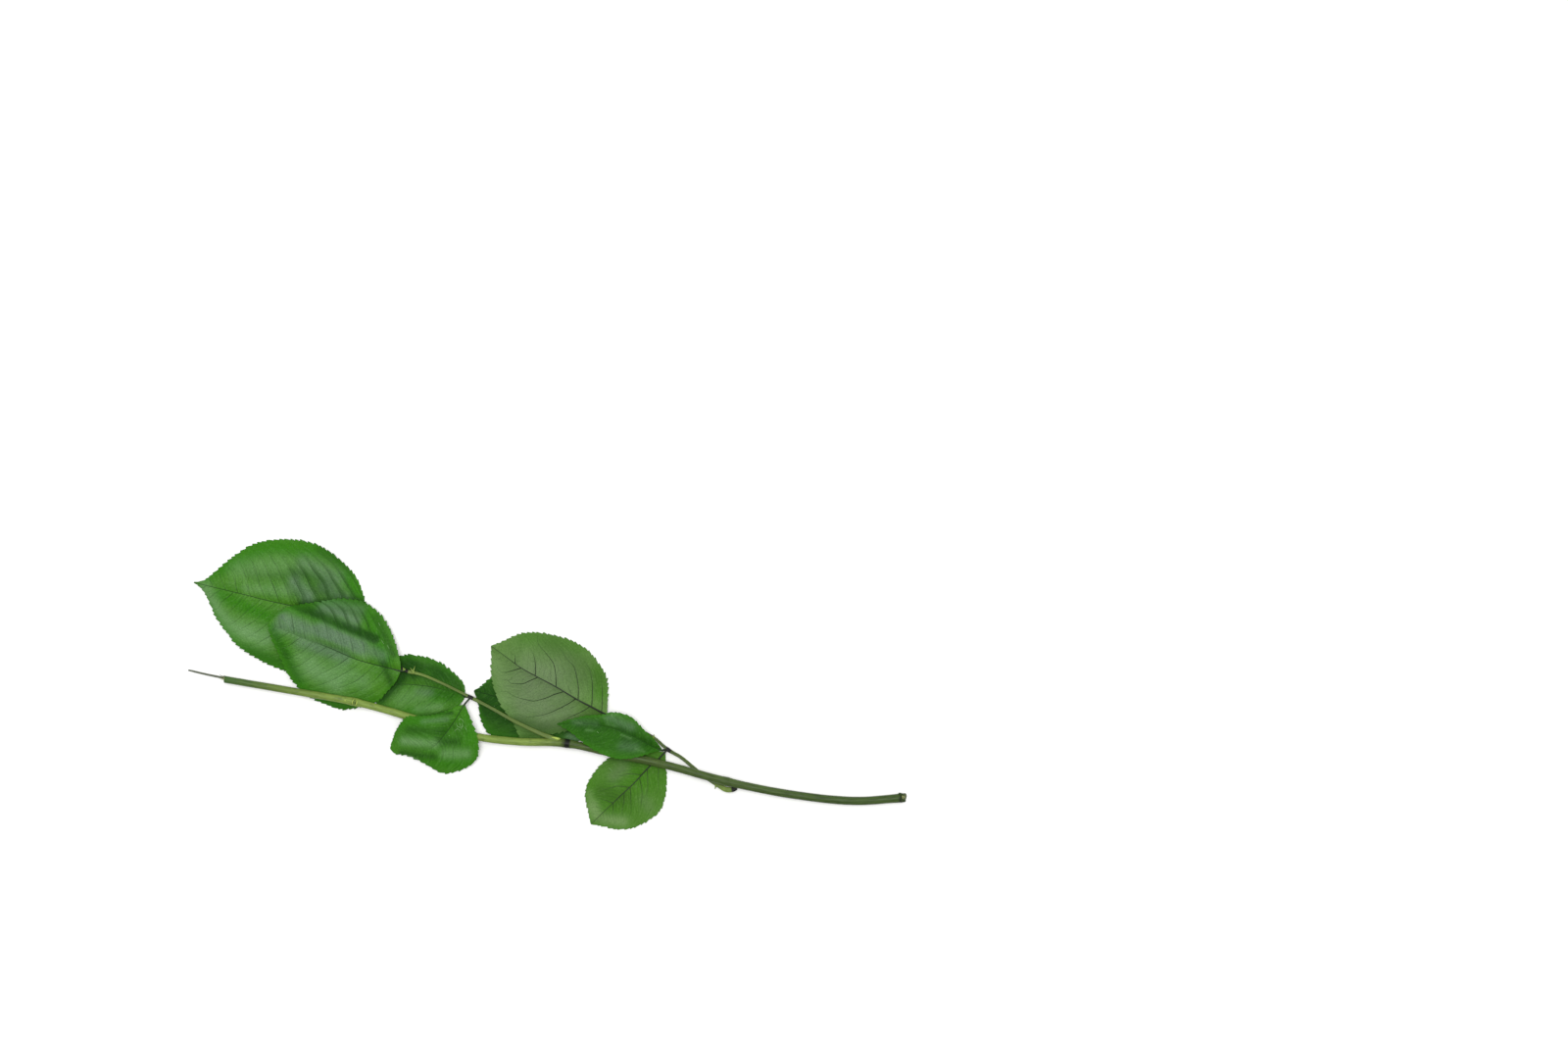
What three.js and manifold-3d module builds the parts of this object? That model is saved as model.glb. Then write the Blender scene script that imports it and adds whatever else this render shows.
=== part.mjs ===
// A cut rose stem, preserved while still green, lying on a flat surface.
// Millimetres, +Z up. The surface is z = 0, and the origin is the middle of the
// stem's outline on it. The cut end points to +X, the wired end to -X.
//
// The stem carries two compound leaves, A near its middle and B further up. Each
// has a stalk and four leaflets. A leaflet is a thin blade between three ribs:
// its midrib and its left and right edge, seen from above, from base to tip.

import * as THREE from 'three';
import { mergeVertices } from 'three/addons/utils/BufferGeometryUtils.js';
import Module from 'manifold-3d';

// The clearance where one piece is seated on another
const SEAT_GAP = 0.3;

// Every blade's thickness, its half width at the neck and the tip, how soon that
// width gives way to the edges' own, and its rows and columns
const BLADE_THICKNESS = 0.7;
const NECK_HALF_WIDTH = 0.8;
const TIP_HALF_WIDTH = 0.3;
const END_WIDTH_POWER = 8;
const BLADE_ROWS = 18;
const BLADE_COLUMNS = 8;

// The main stem's middle line, from the cut base, which lies on the surface, to the
// wired top, which its leaves hold up
const STEM_ROUTE = [
  [163.8, -52, 2.05], [140, -53.5, 2.1], [111.5, -51, 2.9], [82.7, -45.2, 4.2],
  [54, -37.4, 4.5], [28.8, -31.5, 4.4], [7.7, -26.8, 4.3], [-13.5, -26.1, 4.3],
  [-31.5, -24, 4.3], [-49.5, -19, 4.6], [-76, -11.1, 4.8], [-89, -7.8, 4.8],
  [-114.5, -3.3, 4.5], [-149.2, 2.5, 3.6],
];
// Its radius, by the share of its length from the base: a flare at the cut, and a
// swelling at each of its three nodes
const STEM_RADII = [
  [0, 2.05], [0.04, 1.95], [0.24, 1.85], [0.262, 2.1], [0.285, 1.85], [0.48, 1.75],
  [0.502, 2.05], [0.525, 1.8], [0.79, 1.65], [0.812, 1.95], [0.835, 1.65], [1, 1.55],
];
const STEM_SIDES = 12;
const STEM_STEPS = 70;
// How far the base cut leans, as a share of its width
const CUT_SLANT = 0.45;

// The wire that is pushed into the pith at the top
const WIRE_RADIUS = 0.38;
const WIRE_SIDES = 8;
const WIRE_STEPS = 12;
const WIRE_DEPTH = 18;
const BORE_RADIUS = 0.78;
const BORE_DEPTH = 20;
const WIRE_TIP = [-164.8, 6.6, 4];

// Each stalk runs from the stem through its joint to its last leaflet
const STALK_SIDES = 8;
const STALK_STEPS = 34;
const STALKS = {
  leaf_a_stalk: {
    route: [
      [84.6, -47.7, 3.4], [81.5, -48.2, 2.7], [78, -46.5, 1.8], [74.6, -44.4, 1.35],
      [70.2, -41.3, 1.25], [66.1, -37.9, 1.35], [60.8, -33.5, 1.8], [54.5, -29.7, 2.4],
      [48.2, -24.3, 2.8], [36, -18, 2.9], [27.6, -14.4, 2.9],
    ],
    radii: [
      [0, 1.3], [0.08, 1.15], [0.15, 0.9], [0.48, 0.85], [0.52, 1.25], [0.56, 0.8],
      [0.94, 0.75], [1, 0.95],
    ],
    prickles: [
      { foot: [76.9, -46.3, 1.6], tip: [75.6, -48.4, 1.9] },
      { foot: [48, -24.1, 2.8], tip: [48.8, -21.6, 4.2] },
    ],
  },
  leaf_b_stalk: {
    route: [
      [4.6, -25.6, 4.8], [-3.8, -22.2, 4.6], [-15.3, -16.8, 3.9], [-26.8, -10.4, 3.4],
      [-35.7, -5.9, 3.4], [-50, 0.7, 3.2], [-58, 3.9, 3.2], [-65.7, 6.3, 3.3],
      [-69, 9.4, 2.7], [-72, 13, 2.3], [-77.4, 20.1, 2.1],
    ],
    radii: [
      [0, 1.5], [0.08, 1.05], [0.4, 0.95], [0.44, 1.25], [0.48, 0.9], [0.74, 0.85], [0.78, 1.15],
      [0.82, 0.75], [1, 0.8],
    ],
    prickles: [
      { foot: [-62.4, 5.6, 3.6], tip: [-60.8, 9.2, 4.6] },
      { foot: [-65.4, 6.6, 3.8], tip: [-66, 8.6, 4.9] },
    ],
  },
};
const PRICKLE_RADIUS = 0.55;
const PRICKLE_TIP_RADIUS = 0.08;
const PRICKLE_SIDES = 6;

// The leaflets. Some lie with the glossy upper side up, others show the veined
// underside. Between midrib and edge each half rises by its arch.
const LEAFLETS = {
  leaflet_a1: {
    side: 'upper',
    arch: 0.5,
    midrib: [
      [52.3, -30.3, 3.3], [47, -27.9, 4.8], [40, -24, 6], [33, -21, 6.7], [26, -19, 6.8],
      [18, -17.8, 6.2], [4, -18, 4.4],
    ],
    left: [
      [48.4, -30.8, 4.8], [44.5, -32, 6.2], [38.7, -33.4, 7.3], [33, -33.8, 7.4],
      [28.7, -33, 7.4], [23, -30.7, 7.3], [17.6, -27.5, 7.1], [10.2, -21.6, 5.6],
    ],
    right: [
      [49.2, -27.4, 4.6], [43.2, -21.7, 6], [37.5, -15, 7], [30.5, -12.4, 7.6],
      [26, -13.4, 7.2], [18, -14, 6.4], [7.6, -16.6, 4.8],
    ],
  },
  leaflet_a2: {
    side: 'under',
    arch: -0.5,
    midrib: [
      [53.5, -31, 2], [50.4, -34.2, 1.6], [46.4, -37.6, 1.6], [39.2, -45.2, 3.4],
      [33.1, -50.9, 4], [24.7, -59, 2.4], [19.4, -64.2, 0.7],
    ],
    left: [
      [53.8, -36.5, 1.3], [54.2, -44.5, 0.8], [53.3, -52.4, 1.4], [50.6, -58.5, 1.6],
      [45.8, -62.4, 1], [39.2, -65.7, 0.5], [31.3, -66.6, 0.4], [25, -65.2, 0.4],
    ],
    right: [
      [47, -30.6, 1.3], [36, -30.2, 0.8], [28.3, -33.4, 0.6], [23.4, -37.4, 0.8],
      [18, -45.2, 1.6], [16.8, -50.6, 1.4], [18, -58, 0.7],
    ],
  },
  leaflet_a3: {
    side: 'under',
    arch: -0.8,
    midrib: [
      [26.9, -14.1, 3], [20.3, -10.4, 4.4], [13, -6.5, 5.4], [4.7, -1.4, 6.2], [-5, 3.8, 6.2],
      [-12.2, 7.7, 5.2], [-19.4, 12.8, 3.4], [-26.4, 17.6, 1.2],
    ],
    left: [
      [23.4, -17, 2.4], [18, -19.6, 1.9], [9.5, -21.3, 1.8], [0.5, -23.2, 1.8],
      [-6, -26.4, 1.8], [-12.6, -25, 1.8], [-15.8, -18.8, 1.8], [-22.3, -8.9, 1.8], [-24.9, -2.3, 1.7],
      [-26.4, 5, 1.6], [-26.3, 12, 1],
    ],
    right: [
      [27.2, -7, 2.6], [27.3, -1, 1.8], [26.4, 3.8, 1.2], [19, 14.6, 0.6], [10.7, 20, 0.8],
      [-4.4, 23.7, 1.4], [-13, 23.2, 1], [-21.9, 19.4, 0.8],
    ],
  },
  leaflet_a4: {
    side: 'upper',
    arch: 0.2,
    midrib: [
      [27, -15.2, 1.9], [20.3, -15.3, 1.2], [13.5, -14.4, 0.8], [-4.5, -11.3, 0.6],
      [-20.2, -6.8, 0.6], [-34.2, -2.9, 1],
    ],
    left: [
      [20.3, -19.8, 0.8], [13.5, -22.5, 0.6], [6.8, -23.9, 0.5], [-6.8, -26.6, 0.4],
      [-20.3, -26, 0.5], [-27.9, -22.3, 0.6], [-31.4, -14.9, 0.7], [-32.2, -9.7, 0.8],
    ],
    right: [
      [18, -7.7, 0.6], [2.3, 1.4, 0.4], [-13.5, 4.5, 0.4], [-26.8, 2.7, 0.4],
      [-31, -0.8, 0.7],
    ],
  },
  leaflet_b1: {
    side: 'upper',
    arch: 0.8,
    midrib: [
      [-36.9, -7.3, 3.6], [-38.7, -9.6, 4.6], [-42.5, -16.2, 6.6], [-47.7, -23.4, 7.4],
      [-52.6, -28.4, 6.8], [-59.4, -30.6, 5], [-66.6, -30.6, 2.8], [-72.7, -29.3, 1.2],
    ],
    left: [
      [-36.6, -11.7, 5], [-33, -21, 7.2], [-31.6, -28.5, 6.4], [-32.7, -33.8, 4.2],
      [-35.8, -37, 2.8], [-41, -39.6, 1.4], [-48.7, -40.7, 0.9], [-56.5, -36.4, 2.4],
      [-64.7, -32.6, 1.8], [-70.6, -31.8, 0.9],
    ],
    right: [
      [-40.4, -9, 4.8], [-46, -11.1, 6], [-52.8, -13.7, 7.4], [-59.5, -14, 7.6],
      [-64.7, -14.8, 7.4], [-67.3, -17.3, 6.2], [-69.9, -21.5, 3.6], [-71.6, -25.6, 1.9],
    ],
  },
  leaflet_b2: {
    side: 'upper',
    arch: 0.3,
    midrib: [
      [-37, -6.6, 1.4], [-43, -3.9, 1.4], [-53, -1.4, 1], [-59.2, -0.5, 0.8],
      [-69.8, -0.1, 0.7], [-78.8, -2.3, 0.7],
    ],
    left: [
      [-39.9, -8.4, 1.7], [-45.6, -10.6, 1.5], [-54, -14.4, 1.1], [-63, -16.7, 0.7],
      [-70.7, -15.5, 0.5], [-74.6, -14.2, 0.5], [-78, -8.2, 0.5],
    ],
    right: [
      [-38.6, -1, 1.6], [-39.9, 1.6, 1.6], [-46.8, 8, 1.2], [-52.7, 11.3, 1],
      [-63.7, 13.6, 0.9], [-68.9, 12.6, 0.8], [-75, 8.1, 0.6], [-78.6, 2.7, 0.6],
    ],
  },
  leaflet_b3: {
    side: 'upper',
    arch: 1,
    midrib: [
      [-67.5, 6.2, 4.3], [-74.3, 7.9, 4.6], [-87.8, 11.7, 5], [-101.3, 17.5, 5.4],
      [-111.4, 21.2, 5.6], [-120.6, 25.2, 5.6], [-128.3, 27.9, 5.2],
    ],
    left: [
      [-69.8, 1.4, 3.4], [-74.3, -3.6, 2.4], [-78.4, -7.8, 1.8], [-89.1, -11, 1.2],
      [-95, -11.5, 0.9], [-101.3, -9.6, 0.8], [-108.9, -6.3, 0.9], [-114.8, -1.4, 1.2],
      [-118.8, 3.6, 2.4], [-124.2, 15.8, 4.4], [-126.8, 21.8, 4.9],
    ],
    right: [
      [-68.4, 10, 5.3], [-70.2, 17.1, 4.7], [-71.6, 22.5, 4.1], [-75.7, 30.6, 3],
      [-83.7, 37.4, 3.2], [-94.5, 39.4, 4.2], [-104.7, 38, 4.4], [-119, 35.4, 4.8],
      [-124.6, 32, 5],
    ],
  },
  leaflet_b5: {
    side: 'upper',
    arch: 1.2,
    midrib: [
      [-77.9, 20.7, 1.9], [-87.8, 26.1, 1.8], [-96.8, 30.2, 1.9], [-108, 33.8, 2.2],
      [-117.5, 36, 2.6], [-128.3, 38.4, 3], [-141.8, 41.8, 3], [-154.6, 44.8, 2],
      [-163, 46.8, 0.5],
    ],
    left: [
      [-81.2, 17.1, 1.6], [-89.1, 9.9, 0.8], [-99, 4.5, 0.5], [-110.3, 3.6, 0.4],
      [-120.5, 6, 0.5], [-128.3, 9, 1], [-141.8, 17.1, 1.8], [-147.2, 23.2, 1.4],
      [-152.6, 30.6, 0.8], [-158.6, 42.1, 0.5],
    ],
    right: [
      [-79.9, 25.8, 1.6], [-84.1, 38.1, 0.7], [-87.8, 48.2, 0.8], [-92.5, 54.2, 1.2],
      [-104.7, 63.4, 2], [-117.5, 66.4, 1.6], [-134.4, 64.7, 0.6], [-145.1, 58.3, 0.6],
      [-151.9, 52.9, 1], [-157.5, 48.8, 0.8],
    ],
  },
};

// Finishes
const FINISHES = {
  stem: new THREE.MeshStandardMaterial({ color: 0x5d7339, roughness: 0.55 }),
  stalk: new THREE.MeshStandardMaterial({ color: 0x4f6b33, roughness: 0.55 }),
  upper: new THREE.MeshStandardMaterial({ color: 0x43791f, roughness: 0.4 }),
  under: new THREE.MeshStandardMaterial({ color: 0x6c8f55, roughness: 0.7 }),
  wire: new THREE.MeshStandardMaterial({ color: 0x8d9282, roughness: 0.45, metalness: 0.8 }),
};

const point = ([x, y, z]) => new THREE.Vector3(x, y, z);
const curveThrough = (points) => new THREE.CatmullRomCurve3(points.map(point), false, 'centripetal');

const wasm = await Module();
wasm.setup();

// A closed three.js geometry as a solid that can be joined and cut, and back
function toSolid(geometry) {
  const bare = geometry.clone();
  bare.deleteAttribute('normal');
  bare.deleteAttribute('uv');
  const merged = mergeVertices(bare, 1e-4);
  return new wasm.Manifold(new wasm.Mesh({
    numProp: 3,
    vertProperties: new Float32Array(merged.attributes.position.array),
    triVerts: new Uint32Array(merged.index.array),
  }));
}

function toGeometry(solid) {
  const mesh = solid.getMesh();
  const geometry = new THREE.BufferGeometry();
  geometry.setAttribute('position', new THREE.BufferAttribute(mesh.vertProperties, 3));
  geometry.setIndex(new THREE.BufferAttribute(mesh.triVerts, 1));
  geometry.computeVertexNormals();
  return geometry;
}

// The value at a share of the way through a list of [share, value] pairs
function valueAt(pairs, share) {
  const next = Math.max(1, pairs.findIndex(([end]) => end >= share));
  const [from, low] = pairs[next - 1];
  const [to, high] = pairs[next];
  return THREE.MathUtils.lerp(low, high, (share - from) / (to - from));
}

// A round shoot along a route: a lathed rod of its own radii, bent onto the curve
function shootGeometry(route, radii, sides, steps, { extra = 0, slant = 0 } = {}) {
  const curve = curveThrough(route);
  const profile = [new THREE.Vector2(0, 0)];
  for (let step = 0; step <= steps; step += 1) {
    profile.push(new THREE.Vector2(valueAt(radii, step / steps) + extra, step / steps));
  }
  profile.push(new THREE.Vector2(0, 1));
  const geometry = new THREE.LatheGeometry(profile, sides);
  const vertex = new THREE.Vector3();
  const up = new THREE.Vector3(0, 0, 1);
  for (let i = 0; i < geometry.attributes.position.count; i += 1) {
    vertex.fromBufferAttribute(geometry.attributes.position, i);
    const share = vertex.y;
    const along = curve.getTangentAt(share);
    const across = new THREE.Vector3().crossVectors(up, along).normalize();
    const under = new THREE.Vector3().crossVectors(across, along);
    const centre = curve.getPointAt(share);
    const lean = share === 0 ? slant * vertex.x : 0;
    centre.addScaledVector(across, vertex.x);
    centre.addScaledVector(under, vertex.z);
    centre.addScaledVector(along, lean);
    geometry.attributes.position.setXYZ(i, centre.x, centre.y, centre.z);
  }
  return geometry;
}

// A straight rod between two points, its radius at each end
function rodSolid(from, to, startRadius, endRadius, sides) {
  const length = from.distanceTo(to);
  const geometry = new THREE.CylinderGeometry(endRadius, startRadius, length, sides);
  const direction = to.clone().sub(from).normalize();
  geometry.applyQuaternion(new THREE.Quaternion().setFromUnitVectors(new THREE.Vector3(0, 1, 0), direction));
  geometry.translate(...from.clone().add(to).multiplyScalar(0.5).toArray());
  return toSolid(geometry);
}

// The stem, with a blind bore in its top end for the wire
function stemSolid(extra = 0) {
  const options = { extra, slant: CUT_SLANT };
  return toSolid(shootGeometry(STEM_ROUTE, STEM_RADII, STEM_SIDES, STEM_STEPS, options));
}

const stemTop = point(STEM_ROUTE.at(-1));
const stemTopDirection = curveThrough(STEM_ROUTE).getTangentAt(1);

function pithPoint(depth) {
  return stemTop.clone().addScaledVector(stemTopDirection, -depth);
}

function mainStem() {
  const bore = rodSolid(pithPoint(BORE_DEPTH), pithPoint(-1), BORE_RADIUS, BORE_RADIUS, STEM_SIDES);
  return toGeometry(stemSolid().subtract(bore));
}

function floristWire() {
  const exit = pithPoint(0);
  const middle = exit.clone().lerp(point(WIRE_TIP), 0.5);
  const inside = [WIRE_DEPTH, WIRE_DEPTH / 2].map(pithPoint);
  const route = [...inside, exit, middle].map((place) => place.toArray()).concat([WIRE_TIP]);
  return shootGeometry(route, [[0, WIRE_RADIUS], [1, WIRE_RADIUS]], WIRE_SIDES, WIRE_STEPS);
}

// A stalk stops one gap short of the stem that it grew on
function stalk({ route, radii, prickles }) {
  let solid = toSolid(shootGeometry(route, radii, STALK_SIDES, STALK_STEPS));
  for (const { foot, tip } of prickles) {
    const sizes = [PRICKLE_RADIUS, PRICKLE_TIP_RADIUS, PRICKLE_SIDES];
    solid = solid.add(rodSolid(point(foot), point(tip), ...sizes));
  }
  return toGeometry(solid.subtract(stemSolid(SEAT_GAP)));
}

// A blade: a flat slab whose rows run from edge to edge across the midrib
function blade({ midrib, left, right, arch }) {
  const middle = curveThrough(midrib);
  const [base, tip] = [midrib[0], midrib.at(-1)];
  const leftEdge = curveThrough([base, ...left, tip]);
  const rightEdge = curveThrough([base, ...right, tip]);
  const geometry = new THREE.BoxGeometry(1, 1, 1, BLADE_ROWS, BLADE_COLUMNS, 1);
  const vertex = new THREE.Vector3();
  for (let i = 0; i < geometry.attributes.position.count; i += 1) {
    vertex.fromBufferAttribute(geometry.attributes.position, i);
    const share = THREE.MathUtils.clamp(vertex.x + 0.5, 0, 1);
    const across = vertex.y * 2;
    const centre = middle.getPointAt(share);
    const edge = (across > 0 ? leftEdge : rightEdge).getPointAt(share);
    const along = middle.getTangentAt(share);
    const outward = new THREE.Vector3(-along.y, along.x, 0).normalize();
    const end = share < 0.5 ? NECK_HALF_WIDTH : TIP_HALF_WIDTH;
    const least = end * Math.abs(2 * share - 1) ** END_WIDTH_POWER;
    const reach = Math.abs(across);
    centre.lerp(edge, reach);
    centre.addScaledVector(outward, across * least);
    centre.z += 4 * arch * reach * (1 - reach) * Math.sin(Math.PI * share);
    centre.z += vertex.z * BLADE_THICKNESS;
    geometry.attributes.position.setXYZ(i, centre.x, centre.y, centre.z);
  }
  return geometry;
}

const rose = new THREE.Group();

function addPiece(name, geometry, material) {
  const mesh = new THREE.Mesh(geometry, material);
  mesh.name = name;
  rose.add(mesh);
}

addPiece('main_stem', mainStem(), FINISHES.stem);
addPiece('florist_wire', floristWire(), FINISHES.wire);
for (const [name, shape] of Object.entries(STALKS)) {
  addPiece(name, stalk(shape), FINISHES.stalk);
}
for (const [name, shape] of Object.entries(LEAFLETS)) {
  addPiece(name, blade(shape), FINISHES[shape.side]);
}

export default rose;
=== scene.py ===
# %% [markdown]
# # A preserved rose stem
# This lesson dresses a cut rose stem that was preserved while it was green. It lies on a
# white table, seen from straight above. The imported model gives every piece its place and
# size, and Blender gives it its look: toothed leaflets with veins, an olive shoot with dark
# nodes, prickles, frayed cuts and a florist's wire.
#
# Everything is in metres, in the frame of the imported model: the table is z = 0, the cut
# end points to +X and the wired end to -X. The tables below are easier to read in
# millimetres, so each is scaled once, where it is used.

import math

import bpy
import numpy as np
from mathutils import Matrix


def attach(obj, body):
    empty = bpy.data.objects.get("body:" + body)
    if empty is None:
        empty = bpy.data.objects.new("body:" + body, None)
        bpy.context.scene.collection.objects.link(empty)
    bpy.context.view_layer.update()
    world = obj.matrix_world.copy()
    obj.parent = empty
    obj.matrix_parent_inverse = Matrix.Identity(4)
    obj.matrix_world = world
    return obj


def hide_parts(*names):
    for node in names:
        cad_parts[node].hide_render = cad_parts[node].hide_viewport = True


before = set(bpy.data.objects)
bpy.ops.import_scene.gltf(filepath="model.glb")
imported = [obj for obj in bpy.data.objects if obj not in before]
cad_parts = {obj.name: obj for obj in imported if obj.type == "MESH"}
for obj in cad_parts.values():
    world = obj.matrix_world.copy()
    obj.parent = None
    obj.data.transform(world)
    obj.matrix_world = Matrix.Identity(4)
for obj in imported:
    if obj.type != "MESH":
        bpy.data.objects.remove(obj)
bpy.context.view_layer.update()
BODY = "root"
MM = 0.001
print("nodes in the frame:", sorted(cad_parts))

# %% [markdown]
# ## The camera
# The stem was photographed from straight above, so the camera looks straight down. A long
# lens, 1.5 m up, keeps the perspective gentle. One pixel of the 1600 pixel wide picture is
# 0.45 mm on the table, which makes the picture 0.72 m wide there, and the lens follows from
# that width. An orthographic camera would also do, but the taller leaves would then lose
# the small shift that the photograph shows.

# %% Camera
CAMERA_PLACE = (0.108, 0.07515, 1.5)
PICTURE_WIDTH = 0.72
SENSOR_WIDTH = 36.0

scene = bpy.context.scene
camera_data = bpy.data.cameras.new("camera")
camera_data.sensor_width = SENSOR_WIDTH
camera_data.lens = SENSOR_WIDTH * CAMERA_PLACE[2] / PICTURE_WIDTH
camera = bpy.data.objects.new("camera", camera_data)
camera.location = CAMERA_PLACE
scene.collection.objects.link(camera)
scene.camera = camera
print("camera lens in mm:", round(camera_data.lens, 1))

# %% [markdown]
# ## Small helpers for node trees
# The sky, the finishes and Geometry Nodes are all node trees, so the same helpers build
# them. `add` makes a node, sets its options, and either links or fills each of its inputs.
# `calc` is a Math node and `times` the commonest one. `ramp` remaps a value with soft ends,
# `tint` mixes two colours, and `within` turns a distance into a soft-edged line.

# %% Node helpers
def add(tree, kind, inputs=None, **options):
    node = tree.nodes.new(kind)
    for name, value in options.items():
        setattr(node, name, value)
    for key, value in (inputs or {}).items():
        if isinstance(value, bpy.types.NodeSocket):
            tree.links.new(value, node.inputs[key])
        else:
            node.inputs[key].default_value = value
    return node


def calc(tree, operation, *values, clamp=False):
    inputs = dict(enumerate(values))
    return add(tree, "ShaderNodeMath", inputs, operation=operation, use_clamp=clamp).outputs[0]


def times(tree, first, second, clamp=False):
    return calc(tree, "MULTIPLY", first, second, clamp=clamp)


def vector(tree, x, y, z=0.0):
    return add(tree, "ShaderNodeCombineXYZ", {0: x, 1: y, 2: z}).outputs[0]


def vector_calc(tree, operation, *values):
    inputs = dict(enumerate(values))
    node = add(tree, "ShaderNodeVectorMath", inputs, operation=operation)
    return node.outputs["Value"] if operation == "DOT_PRODUCT" else node.outputs[0]


def scaled(tree, direction, factor):
    inputs = {0: direction, "Scale": factor}
    return add(tree, "ShaderNodeVectorMath", inputs, operation="SCALE").outputs[0]


def ramp(tree, value, low, high, start=0.0, end=1.0):
    inputs = {"Value": value, "From Min": low, "From Max": high, "To Min": start, "To Max": end}
    return add(tree, "ShaderNodeMapRange", inputs, interpolation_type="SMOOTHSTEP").outputs[0]


def within(tree, distance, width):
    return ramp(tree, distance, times(tree, width, 0.45), width, 1.0, 0.0)


def tint(tree, factor, below, above):
    inputs = {0: factor, 6: below, 7: above}
    return add(tree, "ShaderNodeMix", inputs, data_type="RGBA").outputs[2]


def noise(tree, place, scale, detail=3.0, roughness=0.55):
    inputs = {"Vector": place, "Scale": scale, "Detail": detail, "Roughness": roughness}
    return add(tree, "ShaderNodeTexNoise", inputs).outputs["Fac"]


def colour(red, green, blue):
    """A screen colour from 0 to 255 as the linear light that shaders use."""
    shares = np.array([red, green, blue]) / 255
    linear = np.where(shares <= 0.04045, shares / 12.92, ((shares + 0.055) / 1.055) ** 2.4)
    return (*linear.tolist(), 1.0)


print("a mid green in linear light:", [round(c, 3) for c in colour(80, 130, 60)])

# %% [markdown]
# ## The light
# The photograph was lit by a large soft lamp overhead: every round stem is brightest along
# its middle, flat parts of a leaf mirror the lamp as a grey sheen, and parts that lean away
# stay deep green. A sun lamp with a wide disc is such a lamp, and unlike an area lamp it
# lights the table evenly out to the horizon of every view. A white sky fills the rest. The
# leaves hardly mirror that sky, as if through a polarising filter, because a veil over every
# leaf would wash out its green.

# %% Light
SUNS = {
    "overhead_softbox": {"azimuth": 100, "elevation": 84, "strength": 2.3, "disc": 32},
    "far_softbox": {"azimuth": 60, "elevation": 40, "strength": 0.7, "disc": 60},
}
SKY_STRENGTH = 0.55
MIRRORED_SKY_STRENGTH = 0.12
SEEN_SKY_STRENGTH = 1.0

for label, lamp in SUNS.items():
    light = bpy.data.lights.new(label, "SUN")
    light.energy = lamp["strength"]
    light.angle = math.radians(lamp["disc"])
    lamp_object = bpy.data.objects.new(label, light)
    tilt = math.radians(90 - lamp["elevation"])
    turn = math.radians(lamp["azimuth"] + 90)
    lamp_object.rotation_euler = (tilt, 0, turn)
    scene.collection.objects.link(lamp_object)

world = bpy.data.worlds.new("sky")
scene.world = world
world.use_nodes = True
sky = world.node_tree
background = sky.nodes["Background"]
background.inputs["Color"].default_value = (1, 1, 1, 1)
ray = add(sky, "ShaderNodeLightPath").outputs
strength = SKY_STRENGTH
for kind, value in (("Is Glossy Ray", MIRRORED_SKY_STRENGTH), ("Is Camera Ray", SEEN_SKY_STRENGTH)):
    choice = add(sky, "ShaderNodeMix", {"Factor": ray[kind], "A": strength, "B": value})
    strength = choice.outputs["Result"]
sky.links.new(strength, background.inputs["Strength"])

scene.view_settings.view_transform = "Standard"
scene.view_settings.look = "None"
print("lamps:", list(SUNS))

# %% [markdown]
# ## The table
# The stem lies on a plain white surface. One large square is enough: the lamps burn it out
# to pure white, so only the deepest shadows under the leaves show.

# %% Table
TABLE_SIZE = 12.0
TABLE_WHITE = 0.86
TABLE_WARMTH = 0.985
TABLE_ROUGHNESS = 0.9
TABLE_MIRROR = 0.1
TABLE_DROP = 0.02 * MM


def new_finish(name, roughness, specular):
    material = bpy.data.materials.new(name)
    material.use_nodes = True
    shader = material.node_tree.nodes["Principled BSDF"]
    shader.inputs["Roughness"].default_value = roughness
    shader.inputs["Specular IOR Level"].default_value = specular
    return material, material.node_tree, shader


table_mesh = bpy.data.meshes.new("table")
half = TABLE_SIZE / 2
corners = [(-half, -half), (half, -half), (half, half), (-half, half)]
table_mesh.from_pydata([(x, y, -TABLE_DROP) for x, y in corners], [], [(0, 1, 2, 3)])
table = bpy.data.objects.new("table", table_mesh)
scene.collection.objects.link(table)
table_finish, _, table_shader = new_finish("white_table", TABLE_ROUGHNESS, TABLE_MIRROR)
table_colour = (TABLE_WHITE, TABLE_WHITE, TABLE_WHITE * TABLE_WARMTH, 1)
table_shader.inputs["Base Color"].default_value = table_colour
table_mesh.materials.append(table_finish)
print("table:", TABLE_SIZE, "m wide")

# %% [markdown]
# ## Smooth lines
# Every piece of a plant follows a line: the shoot, the stalks, the midribs and the leaf
# edges. Each is given by a few listed points, and a centripetal Catmull-Rom curve
# passes through them without loops or overshoot. The imported model uses the same curve, so
# pieces made with this one lie exactly where their solids do. A line is read by its share
# of the length, from 0 to 1.

# %% Smooth lines
LINE_DIVISIONS = 200


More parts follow.
